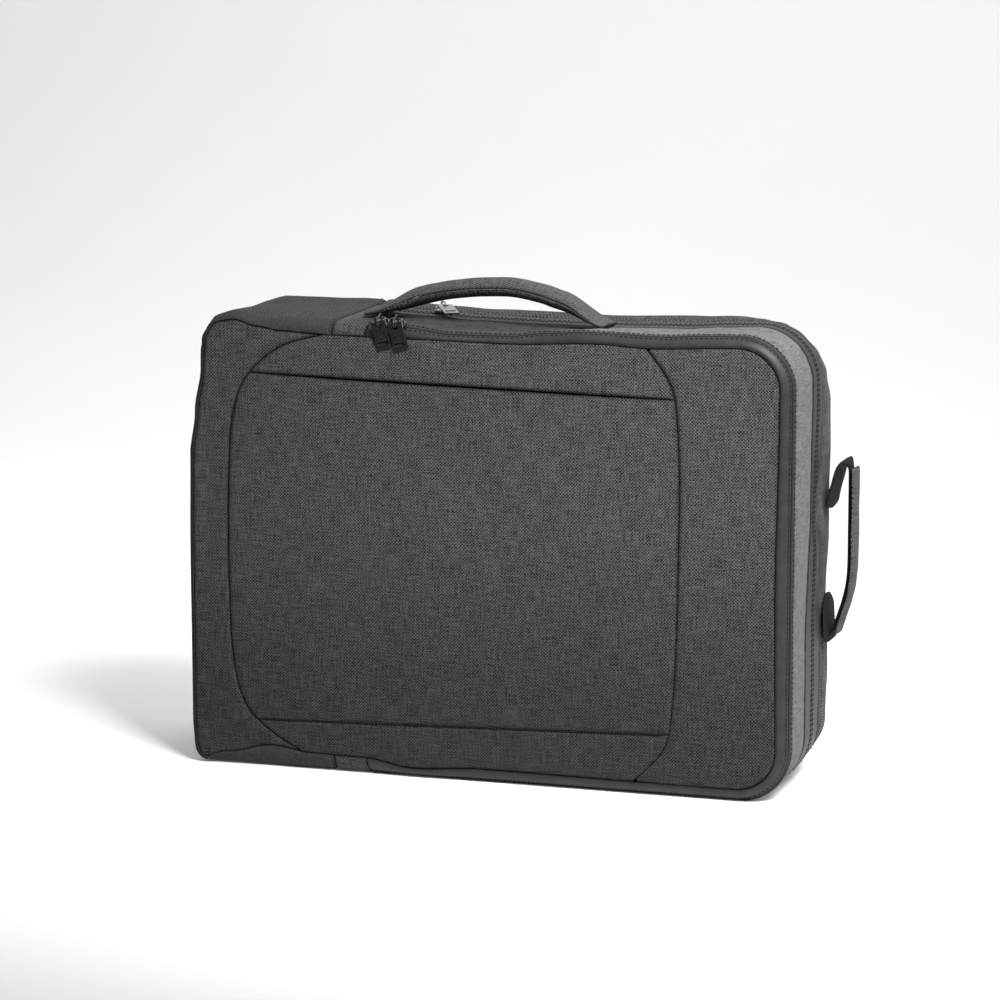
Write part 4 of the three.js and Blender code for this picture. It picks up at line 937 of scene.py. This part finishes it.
def pocket_edge(share):
    """The pocket's free edge hangs a little open in its middle."""
    return mouth_line(share) - UP * MOUTH_GAP * (1 - (2 * share - 1) ** 4)


pocket = between_lines(
    pocket_edge,
    foot_line,
    part_of(left_line, MOUTH[0], FOOT[0]),
    part_of(right_line, MOUTH[1], FOOT[1]),
    POCKET_SEED,
)
panel("front_pocket_cloth", pocket, 2.2, FRONT_CLOTH, "melange_cloth", "front_pocket_panel")

# %% [markdown]
# ## Top band and bottom band
# The top band goes on down behind the pocket's free edge, so the mouth never shows a hole.

# %% Bands
FLAP_DROPS = 0.4, 1.5, 4, 9, 14, 20
FLAP_SETBACK = 5.6
FOOT_TUCK = 0.5  # how far the bottom band runs up behind the pocket, so no light shows between them

band_ends = at_top(LEFT_TIP), at_top(RIGHT_TIP)
top_band = between_lines(
    lambda share: front_rim(lerp(*band_ends, share)),
    mouth_line,
    part_of(left_line, 0, MOUTH[0]),
    part_of(right_line, 0, MOUTH[1]),
    seed=23.0,
    broad=1.5,
)
for i, drop in enumerate(FLAP_DROPS):
    row = []
    for spot in top_band[-1 - i]:
        share = lerp(0.02, 0.98, (spot[0].x - LEFT_TIP) / (RIGHT_TIP - LEFT_TIP))
        point = mouth_line(clamp(share, 0.02, 0.98))
        surface = front_point(point.x, point.z - drop) + BACKWARD * min(FLAP_SETBACK, 2.6 + drop * 2)
        # The flap behind the pocket's mouth is painted fully dark: painted shade inside the mouth.
        row.append((surface, FORWARD, point.x, point.z - drop, 1.0))
    top_band.append(row)
panel("front_top_cloth", top_band, 2.0, FRONT_CLOTH, "melange_cloth", "front_top_band")

toe_ends = at_bottom(LEFT_TOE), at_bottom(RIGHT_TOE)
bottom_band = between_lines(
    lambda share: foot_line(share) + UP * FOOT_TUCK,
    lambda share: front_rim(lerp(*toe_ends, share)),
    part_of(left_line, FOOT[0], 1),
    part_of(right_line, FOOT[1], 1),
    seed=25.0,
)
panel("front_bottom_cloth", bottom_band, 2.0, FRONT_CLOTH, "melange_cloth", "front_bottom_band")

# %% [markdown]
# ## Wings
# A wing lies between its curved seam and the rounded outline. Short tables pair places on the two.

# %% Wings
WING_TIP = 3.0


def wing_grid(line, pairs, seed, **shape):
    """A grid from a curved seam out to the rim, with the pairs saying which places face each other."""
    start, end = pairs[0][0], pairs[-1][0]
    rims = [front_rim(lerp(start, end, i / 300)) for i in range(301)]
    length = running_length(rims)[-1]
    seams = [line(straight(pairs, lerp(start, end, i / 20), 0, 1)) for i in range(21)]
    widest = max((seam - rim).length for seam, rim in zip(seams, rims[::15]))
    shares = [place / widest for place in spread(widest, FACE_STEP)]
    grid = []
    for place in spread(length, FACE_STEP):
        at = lerp(start, end, place / length)
        seam, rim = line(straight(pairs, at, 0, 1)), front_rim(at)
        width = (rim - seam).length
        row = []
        for share in shares:
            point = seam.lerp(rim, share)
            distance = min(share * width, (1 - share) * width, place, length - place)
            row.append(face_spot(point, distance, seed, **shape))
        grid.append(row)
    return grid


RIGHT_PAIRS = [  # place on the outline, share of the curved seam
    (at_top(RIGHT_TIP + WING_TIP), 0.01), (RIGHT, 0.13),
    (BOTTOM, 0.88), (at_bottom(RIGHT_TOE + WING_TIP), 0.99),
]
LEFT_PAIRS = [
    (at_bottom(LEFT_TOE - WING_TIP), 0.99), (LEFT, 0.86), (4, 0.2), (4 + at_top(LEFT_TIP - WING_TIP), 0.01),
]
for side, grid in [
    ("right", wing_grid(right_line, RIGHT_PAIRS, seed=27.0)),
    ("left", wing_grid(left_line, LEFT_PAIRS, seed=29.0, broad=1.6)),
]:
    panel(side + "_wing_cloth", grid, 2.0, FRONT_CLOTH, "melange_cloth", f"front_{side}_wing")

# %% [markdown]
# ## Back
# The back can't be seen in the photograph. It is one plain padded panel of the smooth cloth.

# %% Back panel
def back_rim(at):
    x, z, _ = outline(at, back_inset(at) + SEAM_GAP)
    return Vector((x, 0, z))


back = between_lines(
    lambda share: back_rim(TOP + share),
    lambda share: back_rim(BOTTOM + 1 - share),
    lambda share: back_rim(LEFT + 1 - share),
    lambda share: back_rim(RIGHT + share),
    seed=31.0,
)
turned = []
for row in back:
    turned.append([])
    for point, _, u, v, close in row:
        lift = -(point.y + DEPTH / 2)
        lift *= BACK_BULGE / FRONT_BULGE if lift > 0 else 1
        turned[-1].append((Vector((point.x, DEPTH / 2 + lift, point.z)), BACKWARD, u, v, close))
panel("back_cloth", turned, 2.2, BACK_CLOTH, "smooth_cloth", "back_panel")

# %% [markdown]
# ## Top handle
# The handle is a padded grip in a cloth sleeve. Its upper part is melange cloth and its underside
# a knitted mesh. Both are lofts along one curve: it rises from flat tabs sewn to the gusset.

# %% Top handle
HANDLE_START, HANDLE_SPAN, HANDLE_RISE = 118.0, 166.0, 15.0
HANDLE_WIDTH, HANDLE_END_WIDTH = 23.0, 38.0
HANDLE_THICKNESS, HANDLE_END_THICKNESS = 12.5, 4.0
HANDLE_Y = 43 - DEPTH / 2
HANDLE_STEPS, OVAL_STEPS = 84, 22
HANDLE_SEAT = 0.6
HANDLE_ROWS = [  # shares of the span and the rise
    (0, 0), (0.05, 0.1), (0.142, 0.29), (0.25, 0.6), (0.357, 0.83), (0.48, 0.97), (0.59, 1),
    (0.72, 0.77), (0.8, 0.5), (0.884, 0.3), (0.947, 0.14), (1, 0),
]
handle_path = Curve([Vector((along, 0, rise)) for along, rise in HANDLE_ROWS])


def handle_section(share):
    """The middle of the handle, its lean, and its width and thickness."""
    spot, slope = handle_path.by_rows(share)
    x = HANDLE_START - WIDTH / 2 + spot.x * HANDLE_SPAN
    bend = math.atan2(slope.z * HANDLE_RISE, slope.x * HANDLE_SPAN)
    free = smooth(min(spot.x, 1 - spot.x) / 0.2)
    width = lerp(HANDLE_END_WIDTH, HANDLE_WIDTH, free)
    thickness = lerp(HANDLE_END_THICKNESS, HANDLE_THICKNESS, free)
    return x, max(0, spot.z) * HANDLE_RISE, bend, free, width, thickness


def handle_point(share, angle, side, lift=0.0):
    x, rise, bend, free, width, thickness = handle_section(share)
    across = (width / 2 + lift) * math.cos(angle)
    up = side * ((thickness / 2 + lift) * abs(math.sin(angle)) ** 0.8 + 0.15)
    y = HANDLE_Y + across
    seat = HEIGHT - sag(at_top(x), y) * (1 - free) + HANDLE_SEAT + thickness / 2
    return Vector((x - up * math.sin(bend), y, seat + rise + up * math.cos(bend)))


def closed_body(name, rings, wraps):
    """A smooth closed body through rings of points."""
    count = len(rings[0])
    points = [point for ring in rings for point in ring]
    faces = ring_faces(len(rings), count)
    piece = new_mesh(name, points, faces, wraps)
    bpy.context.view_layer.update()
    a, b, c = (piece.data.vertices[faces[5][k]].co for k in range(3))
    inside = sum((p for p in rings[0]), Vector()) / count
    if (b - a).cross(c - a).dot(a - framed(inside)) < 0:
        piece.data.flip_normals()
    return piece


def half_handle(name, side, puff, seed):
    rings, wraps = [], []
    for i in range(HANDLE_STEPS + 1):
        share = i / HANDLE_STEPS
        ring = []
        for j in range(OVAL_STEPS + 1):
            angle = math.pi * j / OVAL_STEPS
            point = handle_point(share, angle, side)
            swell = waves(point, seed, 0.4, puff) * math.sin(angle)
            ring.append(handle_point(share, angle, side, swell))
            wraps.append((share * HANDLE_SPAN, angle * 10))
        rings.append(ring)
    return closed_body(name, rings, wraps)


for name, side, puff, seed, finish, slot, node in [
    ("top_handle_sleeve_cloth", 1, 0.35, 33.0, HANDLE_CLOTH, "melange_cloth", "top_handle_sleeve"),
    ("top_handle_knit", -1, 0.25, 35.0, KNIT, "mesh_cloth", "top_handle_grip"),
]:
    half = settle(half_handle(name, side, puff, seed), finish, slot, node)
    print(name, "rises to", round(max(v.co.z for v in half.data.vertices) / MM, 1), "mm")

# %% [markdown]
# ## Side handle
# A strip of black webbing leaves the side, bows out and comes back. A sleeve of the main cloth
# covers its outer leg. Both follow the same line, a set distance apart.

# %% Side handle
STRAP_WIDTH, GRIP_WIDTH, STRAP_WALL, COVER_WALL = 35.0, 20.0, 2.8, 2.0
STRAP_STEPS, COVER_STEPS, BAND_STEPS = 160, 90, 28
STANDOFF, SIDE_TOP, SIDE_BOTTOM = 14.3, 215.0, 93.0
COVER_START, COVER_END, NARROWING = 0.339, 0.75, 0.09
STRAP_Y = 107.5 - DEPTH / 2
SIDE_ROWS = [  # shares of STANDOFF out, and of the height from SIDE_BOTTOM to SIDE_TOP
    (0, 0.738), (0.05, 0.762), (0.17, 0.836), (0.3, 0.889), (0.4, 0.934), (0.5, 0.968),
    (0.72, 1), (0.9, 0.985), (0.99, 0.947), (1, 0.88), (1, 0.74), (1, 0.6), (1, 0.45),
    (0.97, 0.36), (0.88, 0.28), (0.74, 0.21), (0.52, 0.125), (0.34, 0.06), (0.22, 0.02),
    (0.14, 0), (0.06, 0.03), (0.04, 0.1), (0.03, 0.17), (0, 0.25),
]
side_path = Curve([Vector((out, 0, up)) for out, up in SIDE_ROWS])


def strap_point(share, y, lift):
    spot, slope = side_path.by_rows(share)
    z = lerp(SIDE_BOTTOM, SIDE_TOP, spot.z)
    run = Vector((slope.x * STANDOFF, 0, slope.z * (SIDE_TOP - SIDE_BOTTOM))).normalized()
    wall = WIDTH / 2 - sag(at_right(z), y) * clamp(1 - spot.x)
    x = wall + HANDLE_SEAT + STRAP_WALL / 2 + spot.x * STANDOFF
    return Vector((x - run.z * lift, y, z + run.x * lift))


def held(share):
    """How far the cover holds the strap here, from 0 to 1."""
    return smooth(1 + min(share - COVER_START, COVER_END - share) / NARROWING)


def strap_width(share):
    """The strap is folded narrower where the cover holds it."""
    taper = lerp(0.3, 1, math.sqrt(smooth(min(share, 1 - share) / 0.045)))
    return taper * lerp(STRAP_WIDTH, GRIP_WIDTH, held(share))


def strap(name, start, end, inside, outside, steps, crown=0.0, slim=1.0):
    """A flat band with rounded edges along the side handle's line."""
    wall, middle_lift = (outside - inside) / 2, (outside + inside) / 2
    rings, wraps = [], []
    for i in range(steps + 1):
        share = lerp(start, end, i / steps)
        half = strap_width(share) / 2 * lerp(1, slim, held(share))
        ring = []
        for j in range(BAND_STEPS):
            angle = 2 * math.pi * j / BAND_STEPS
            c, s = math.cos(angle), math.sin(angle)
            across = math.copysign(abs(c) ** 0.6, c)
            up = math.copysign(abs(s) ** 0.8, s)
            worn = 0.35 * noise.noise(Vector((share * 22, across * 1.5, 41.0)))
            lift = middle_lift + wall * up + (crown * (1 - across * across) if s > 0 else 0)
            ring.append(strap_point(share, STRAP_Y + half * across, lift + worn * crown))
            wraps.append((share * 260, across * half))
        rings.append(ring)
    return closed_body(name, rings, wraps)


half_strap = STRAP_WALL / 2
webbing = strap("side_handle_strap", 0, 1, -half_strap, half_strap, STRAP_STEPS, slim=0.6)
settle(webbing, WEB, "webbing", "side_handle_webbing")
inner, outer = half_strap + 0.2, half_strap + 0.3 + COVER_WALL
cover = strap("side_handle_sleeve", COVER_START, COVER_END, inner, outer, COVER_STEPS, crown=1.1)
settle(cover, HANDLE_CLOTH, "melange_cloth", "side_handle_cover")
print("side handle reaches x", round(max(v.co.x for v in cover.data.vertices) / MM, 1), "mm")

# %% [markdown]
# ## Stitches
# A row of stitches is a chain of tiny threads, each a short spindle that dips into the cloth at both
# ends. Real geometry keeps them crisp in every view.

# %% Stitch rows
STITCH, STITCH_GAP, THREAD = 2.5, 0.9, 0.34
SPINDLE = [(0.0, 0.25, -0.25), (0.22, 0.9, 0.12), (0.78, 0.9, 0.12), (1.0, 0.25, -0.25)]  # along, thick, high
THREAD_SIDES, THREAD_LIFT, LINE_STEP = 6, 0.1, 0.006
THREAD_FACES = ring_faces(len(SPINDLE), THREAD_SIDES)


def stitches(name, line, finish, slot, length=STITCH, gap=STITCH_GAP, radius=THREAD):
    """Threads along a line of (point, normal)."""
    marks = running_length([point for point, _ in line])
    points, faces = [], []
    index, begin = 0, 0.0

    def at(distance):
        nonlocal index
        while index + 2 < len(marks) and marks[index + 1] < distance:
            index += 1
        while index > 0 and marks[index] > distance:
            index -= 1
        part = (distance - marks[index]) / max(1e-6, marks[index + 1] - marks[index])
        return line[index][0].lerp(line[index + 1][0], part), line[index][1]

    while begin + length < marks[-1]:
        first = len(points)
        start, end = at(begin)[0], at(begin + length)[0]
        run = (end - start).normalized()
        for share, thick, high in SPINDLE:
            spot, normal = at(begin + length * share)
            across = run.cross(normal).normalized()
            for k in range(THREAD_SIDES):
                angle = 2 * math.pi * k / THREAD_SIDES
                offset = across * math.cos(angle) + normal * math.sin(angle)
                points.append(spot + normal * high + offset * radius * thick)
        faces += [tuple(first + i for i in face) for face in THREAD_FACES]
        begin += length + gap
    settle(new_mesh(name, points, faces), finish, slot)
    print(name, len(faces) // len(THREAD_FACES), "stitches")


def strip_line(strip, inset, from_far=False, lift=THREAD_LIFT):
    """A line on a strip, a set distance in from one of its long edges."""
    start, end = strip.start(1), strip.end(1)
    line = []
    count = int((end - start) / LINE_STEP)
    for i in range(count + 1):
        at = lerp(start, end, i / count)
        width = strip.width(at)
        share = inset / width
        point, normal, _ = strip.spot(at, 1 - share if from_far else share, width, 40)
        line.append((point + normal * lift, normal))
    return line


for name, strip, inset, from_far, radius in [
    ("front_zip_stitches", front_tape, 2.2, True, 0.26),
    ("front_zip_rear_stitches", narrow_tape, 1.5, True, 0.26),
    ("rear_zip_near_stitches", rear_front_tape, 3.0, True, THREAD),
    ("rear_zip_far_stitches", rear_back_tape, 3.0, False, THREAD),
]:
    stitches(name, strip_line(strip, inset, from_far), DARK_THREAD, "coated_zip_tape", radius=radius)
stitches("rear_gusset_stitches", strip_line(rear, 3.0), SEAM_THREAD, "melange_cloth")

# A near-black cord lies end over end in the bottom of the foot seam, so it closes the seam; its dark line is
# painted shade in the seam's groove.
foot_shade_cord = [(face_point(foot_line(i / 120), 0.7, POCKET_SEED), FORWARD) for i in range(1, 120)]
stitches("foot_seam_shade_cord", foot_shade_cord, DARK_THREAD, "melange_cloth", length=4.0, gap=-1.4, radius=0.6)

# %% Stitches on the base
def cross_line(strip, inset, near_end):
    """A line over a strip, a set distance in from one of its ends."""
    at_end = strip.end(1) if near_end else strip.start(1)
    side = TOP if near_end else BOTTOM
    at = at_end + (-1 if near_end else 1) * inset / side_length(side)
    line = []
    for i in range(61):
        share = lerp(0.03, 0.97, i / 60)
        point, normal, _ = strip.spot(at, share, strip.width(at), inset)
        line.append((point + normal * THREAD_LIFT, normal))
    return line


stitches("base_top_stitches", cross_line(base, 3.2, True), SEAM_THREAD, "smooth_cloth")
stitches("base_bottom_stitches", cross_line(base, 3.2, False), SEAM_THREAD, "smooth_cloth")

# %% [markdown]
# ## Zip coils
# In the slit between two tapes lies the coil. A chain of small ridges across the slit stands for it.

# %% Coils
for name, strip in (("front_coil", front_tape), ("rear_coil", rear_front_tape)):
    line = strip_line(strip, 0.2, from_far=True, lift=-0.5)
    stitches(name, line, COIL, "coated_zip_tape", length=0.9, gap=0.35, radius=0.55)

# %% [markdown]
# ## Sliders, loops and pulls
# A slider has a rounded body and a bridge. A wire loop runs through the bridge and holds a flat pull
# with an eye and a window. Each is one mesh with bevelled edges.

# %% Slider parts
SLIDER_LENGTH, SLIDER_WIDTH, SLIDER_HEIGHT = 11.0, 8.0, 2.6
BRIDGE_RISE, BRIDGE_WALL, BRIDGE_WIDTH = 4.0, 1.2, 2.2
LOOP_WIRE, LOOP_WIDTH, LOOP_LENGTH = 1.3, 4.6, 10.5
PULL_LENGTH, PULL_WIDTH, PULL_THICKNESS = 19.0, 10.2, 1.5
PULL_EYE, PULL_RIM, PULL_WINDOW, PULL_WINDOW_HEIGHT = 3.4, 1.3, 2.4, 0.22
BRIDGE_BAR = SLIDER_HEIGHT + BRIDGE_RISE - BRIDGE_WALL / 2
LOOP_REACH = LOOP_LENGTH - LOOP_WIDTH
CORNER_STEPS, WIRE_SIDES = 5, 12


def rounded_box(width, height, radius):
    """The outline of a rectangle with round corners, counterclockwise."""
    points = []
    for x, y, turn in ((1, 1, 0), (-1, 1, 1), (-1, -1, 2), (1, -1, 3)):
        for i in range(CORNER_STEPS + 1):
            angle = (turn + i / CORNER_STEPS) * math.pi / 2
            points.append((x * (width / 2 - radius) + radius * math.cos(angle),
                           y * (height / 2 - radius) + radius * math.sin(angle)))
    return points


def plate(name, outer, holes, thickness, bevel):
    """A flat plate with holes, as a filled curve with a bevelled edge, turned into a mesh."""
    data = bpy.data.curves.new(name, "CURVE")
    data.dimensions = "2D"
    data.fill_mode = "BOTH"
    for ring in (outer, *holes):
        spline = data.splines.new("POLY")
        spline.points.add(len(ring) - 1)
        for point, (x, y) in zip(spline.points, ring):
            point.co = (x, y, 0, 1)
        spline.use_cyclic_u = True
    data.extrude = thickness / 2 - bevel
    data.bevel_depth = bevel
    data.bevel_resolution = 2
    data.offset = -bevel
    holder = bpy.data.objects.new(name, data)
    mesh = bpy.data.meshes.new_from_object(holder)
    bpy.data.objects.remove(holder)
    bpy.data.curves.remove(data)
    return mesh


def tube(name, centres, radius, closed=True):
    """A round wire through points."""
    count = len(centres)
    points = []
    for i, centre in enumerate(centres):
        before = centres[(i - 1) % count] if closed or i else centres[0]
        after = centres[(i + 1) % count] if closed or i + 1 < count else centres[-1]
        run = (after - before).normalized()
        across = Vector((1, 0, 0))
        out = run.cross(across).normalized()
        for k in range(WIRE_SIDES):
            angle = 2 * math.pi * k / WIRE_SIDES
            points.append(centre + (across * math.cos(angle) + out * math.sin(angle)) * radius)
    mesh = bpy.data.meshes.new(name)
    mesh.from_pydata(points, [], ring_faces(count, WIRE_SIDES, closed))
    return mesh


def slider_mesh(name):
    """The body of a slider and the bridge over it, in one mesh."""
    outer = []
    for x, y in rounded_box(SLIDER_LENGTH, SLIDER_WIDTH, 2.4):
        waist = 1 - 0.12 * math.exp(-((x / 2.6) ** 2))
        outer.append((x, y * waist))
    body = plate(name, outer, [], SLIDER_HEIGHT, 0.5)
    body.transform(Matrix.Translation((0, 0, SLIDER_HEIGHT / 2)))
    half = SLIDER_LENGTH / 2 - BRIDGE_WALL
    arch = [Vector((-half, 0, 1.4))]
    for i in range(9):
        angle = math.pi - math.pi * i / 8
        flat = math.copysign(abs(math.cos(angle)) ** 0.55, math.cos(angle))
        arch.append(Vector((flat * half, 0, lerp(SLIDER_HEIGHT, BRIDGE_BAR, math.sin(angle) ** 0.55))))
    arch.append(Vector((half, 0, 1.4)))
    swing = Matrix.Rotation(math.pi / 2, 4, "Z")
    bridge = tube(name + "_bridge", [swing.inverted() @ p for p in arch], BRIDGE_WALL / 2, closed=False)
    bridge.transform(swing)
    for vertex in bridge.vertices:
        vertex.co.y *= BRIDGE_WIDTH / BRIDGE_WALL
    return [body, bridge]


def loop_mesh(name):
    radius = LOOP_WIDTH / 2
    arc = [-math.pi / 2 + math.pi * i / 14 for i in range(15)]
    near = [Vector((0, radius * math.cos(a), radius * math.sin(a))) for a in arc]
    far = [Vector((0, -LOOP_REACH - p.y, -p.z)) for p in near]
    return [tube(name, near + far, LOOP_WIRE / 2)]


def pull_mesh(name):
    eye_middle = PULL_LENGTH / 2 - PULL_RIM - PULL_EYE / 2
    window_middle = PULL_LENGTH * (PULL_WINDOW_HEIGHT - 0.5)
    eye = [(x, y + eye_middle) for x, y in rounded_box(PULL_EYE, PULL_EYE, 0.8)]
    window = [(x, y + window_middle) for x, y in rounded_box(PULL_WIDTH - 2 * PULL_RIM, PULL_WINDOW, 0.7)]
    outer = rounded_box(PULL_WIDTH, PULL_LENGTH, PULL_RIM / 2)
    mesh = plate(name, outer, [eye[::-1], window[::-1]], PULL_THICKNESS, 0.3)
    mesh.transform(Matrix.Translation((0, PULL_RIM / 2 - PULL_LENGTH / 2, 0)))
    return [mesh]


def hardware(name, meshes, placing, finish, slot, node):
    """Joins meshes, puts them in their place and settles them on the bag."""
    points, faces = [], []
    for mesh in meshes:
        first = len(points)
        points += [placing @ vertex.co for vertex in mesh.vertices]
        faces += [tuple(first + i for i in face.vertices) for face in mesh.polygons]
        bpy.data.meshes.remove(mesh)
    piece = new_mesh(name, points, faces)
    piece.data.shade_smooth()
    piece.data.set_sharp_from_angle(angle=math.radians(50))
    settle(piece, finish, slot, node)


# %% Placing the sliders
def slider_set(prefix, suffix, at, cross, finish, slot, turn, tip, lean):
    """A slider on its zip. Its loop turns on the bag, and its pull tips up from the loop and leans."""
    seat, up = side_point(at, cross)
    along = Vector((1, 0, 0))
    back = up.cross(along).normalized()
    basis = Matrix((along, back, up)).transposed().to_4x4()
    place = Matrix.Translation(seat + up * 0.3) @ basis
    swivel = place @ Matrix.Translation((0, 0, BRIDGE_BAR)) @ Matrix.Rotation(turn, 4, "Z")
    hang = swivel @ Matrix.Translation((0, -LOOP_REACH, 0)) @ Matrix.Rotation(tip, 4, "X")
    pull = hang @ Matrix.Rotation(lean, 4, "Z")
    parts = ("slider", slider_mesh, place), ("loop", loop_mesh, swivel), ("pull", pull_mesh, pull)
    for kind, mesh, placing in parts:
        node = f"{prefix}_{kind}{suffix}"
        hardware(node + "_metal", mesh(node), placing, finish, slot, node)


FRONT_SLIDER_X, REAR_SLIDER_X = ZIP_START_X + SLIDER_LENGTH, 157 - WIDTH / 2
SLIDER_SPACE = 0.6
for suffix, x in (("_left", FRONT_SLIDER_X), ("_right", FRONT_SLIDER_X + SLIDER_LENGTH + SLIDER_SPACE)):
    slider_set("front", suffix, at_top(x), 0.7, BLACK_METAL, "dark_metal", turn=0, tip=1.1, lean=0.28)
rear_at = at_top(REAR_SLIDER_X)
rear_cross = along_rear_coil(rear_at)
slider_set("rear", "", rear_at, rear_cross, BRIGHT_METAL, "bright_metal", turn=0.6, tip=0.2, lean=0)

# %% [markdown]
# ## Floor, light and camera
# The bag stands on a pale floor that runs into a pale backdrop. A narrow key light from the upper
# right shapes the front, a second one brightens the right end, a wide one hangs overhead, and the
# last lights the backdrop.

# %% Floor
PALE = Finish("pale_floor", Specular_IOR_Level=0.1, Emission_Color=(1, 1, 1, 1), Emission_Strength=0.05)
cloud = PALE.speckle(PALE.place(), 0.3, 2.0)
PALE.feed(Base_Color=PALE.mixed(cloud, grey(0.86), grey(0.9)))
PALE.feed(Roughness=0.8 + cloud * 0.1)
bend = [math.pi * i / 32 for i in range(1, 17)]
profile = [(-3.0, 0.0), (1.2, 0.0), *((1.2 + math.sin(a), 1 - math.cos(a)) for a in bend), (2.2, 4.0)]
points = [(x, y, z) for y, z in profile for x in (-5.0, 5.0)]
faces = [(2 * i, 2 * i + 1, 2 * i + 3, 2 * i + 2) for i in range(len(profile) - 1)]
mesh = bpy.data.meshes.new("studio_floor")
mesh.from_pydata(points, [], faces)
mesh.polygons.foreach_set("use_smooth", [True] * len(mesh.polygons))
floor = bpy.data.objects.new("studio_floor", mesh)
bpy.context.collection.objects.link(floor)
mesh.materials.append(PALE.material)

# %% Light
def soft_light(name, place, target, size, watts, cone=180):
    data = bpy.data.lights.new(name, "AREA")
    data.shape = "RECTANGLE"
    data.size, data.size_y = size
    data.energy = watts
    data.spread = math.radians(cone)
    lamp = bpy.data.objects.new(name, data)
    lamp.location = place
    lamp.rotation_mode = "QUATERNION"
    lamp.rotation_quaternion = (Vector(target) - Vector(place)).to_track_quat("-Z", "Y")
    bpy.context.collection.objects.link(lamp)


soft_light("key_right", (0.72, -0.7, 1.2), (0.18, -0.05, 0.3), (0.6, 0.6), 6.0, 60)
soft_light("side_right", (1.2, 0.1, 0.7), (0.2, 0, 0.15), (0.8, 0.8), 4.2)
soft_light("overhead", (-0.1, 0.8, 2.2), (-0.1, 0.1, 0.0), (3.0, 1.8), 16)
soft_light("backdrop", (-0.4, 0.7, 1.7), (-0.5, 2.1, 0.3), (2.4, 0.5), 17)
world = bpy.data.worlds.new("studio")
world.use_nodes = True
world.node_tree.nodes["Background"].inputs["Color"].default_value = (1, 1, 1, 1)
world.node_tree.nodes["Background"].inputs["Strength"].default_value = 0.26
bpy.context.scene.world = world
bpy.context.scene.view_settings.view_transform = "Standard"

# %% Camera
AZIMUTH, ELEVATION = math.radians(17.71), math.radians(9.48)
DISTANCE, LENS = 2553.3, 134.8
TARGET = Vector((-7.48, 0, 183.91))
towards_camera = Vector((
    math.sin(AZIMUTH) * math.cos(ELEVATION), -math.cos(AZIMUTH) * math.cos(ELEVATION), math.sin(ELEVATION)
))
lens = bpy.data.cameras.new("camera")
lens.lens = LENS
lens.sensor_width = 36
lens.clip_end = 50
camera = bpy.data.objects.new("camera", lens)
camera.location = framed(TARGET + towards_camera * DISTANCE)
camera.rotation_mode = "QUATERNION"
camera.rotation_quaternion = (-towards_camera).to_track_quat("-Z", "Y")
bpy.context.collection.objects.link(camera)
bpy.context.scene.camera = camera
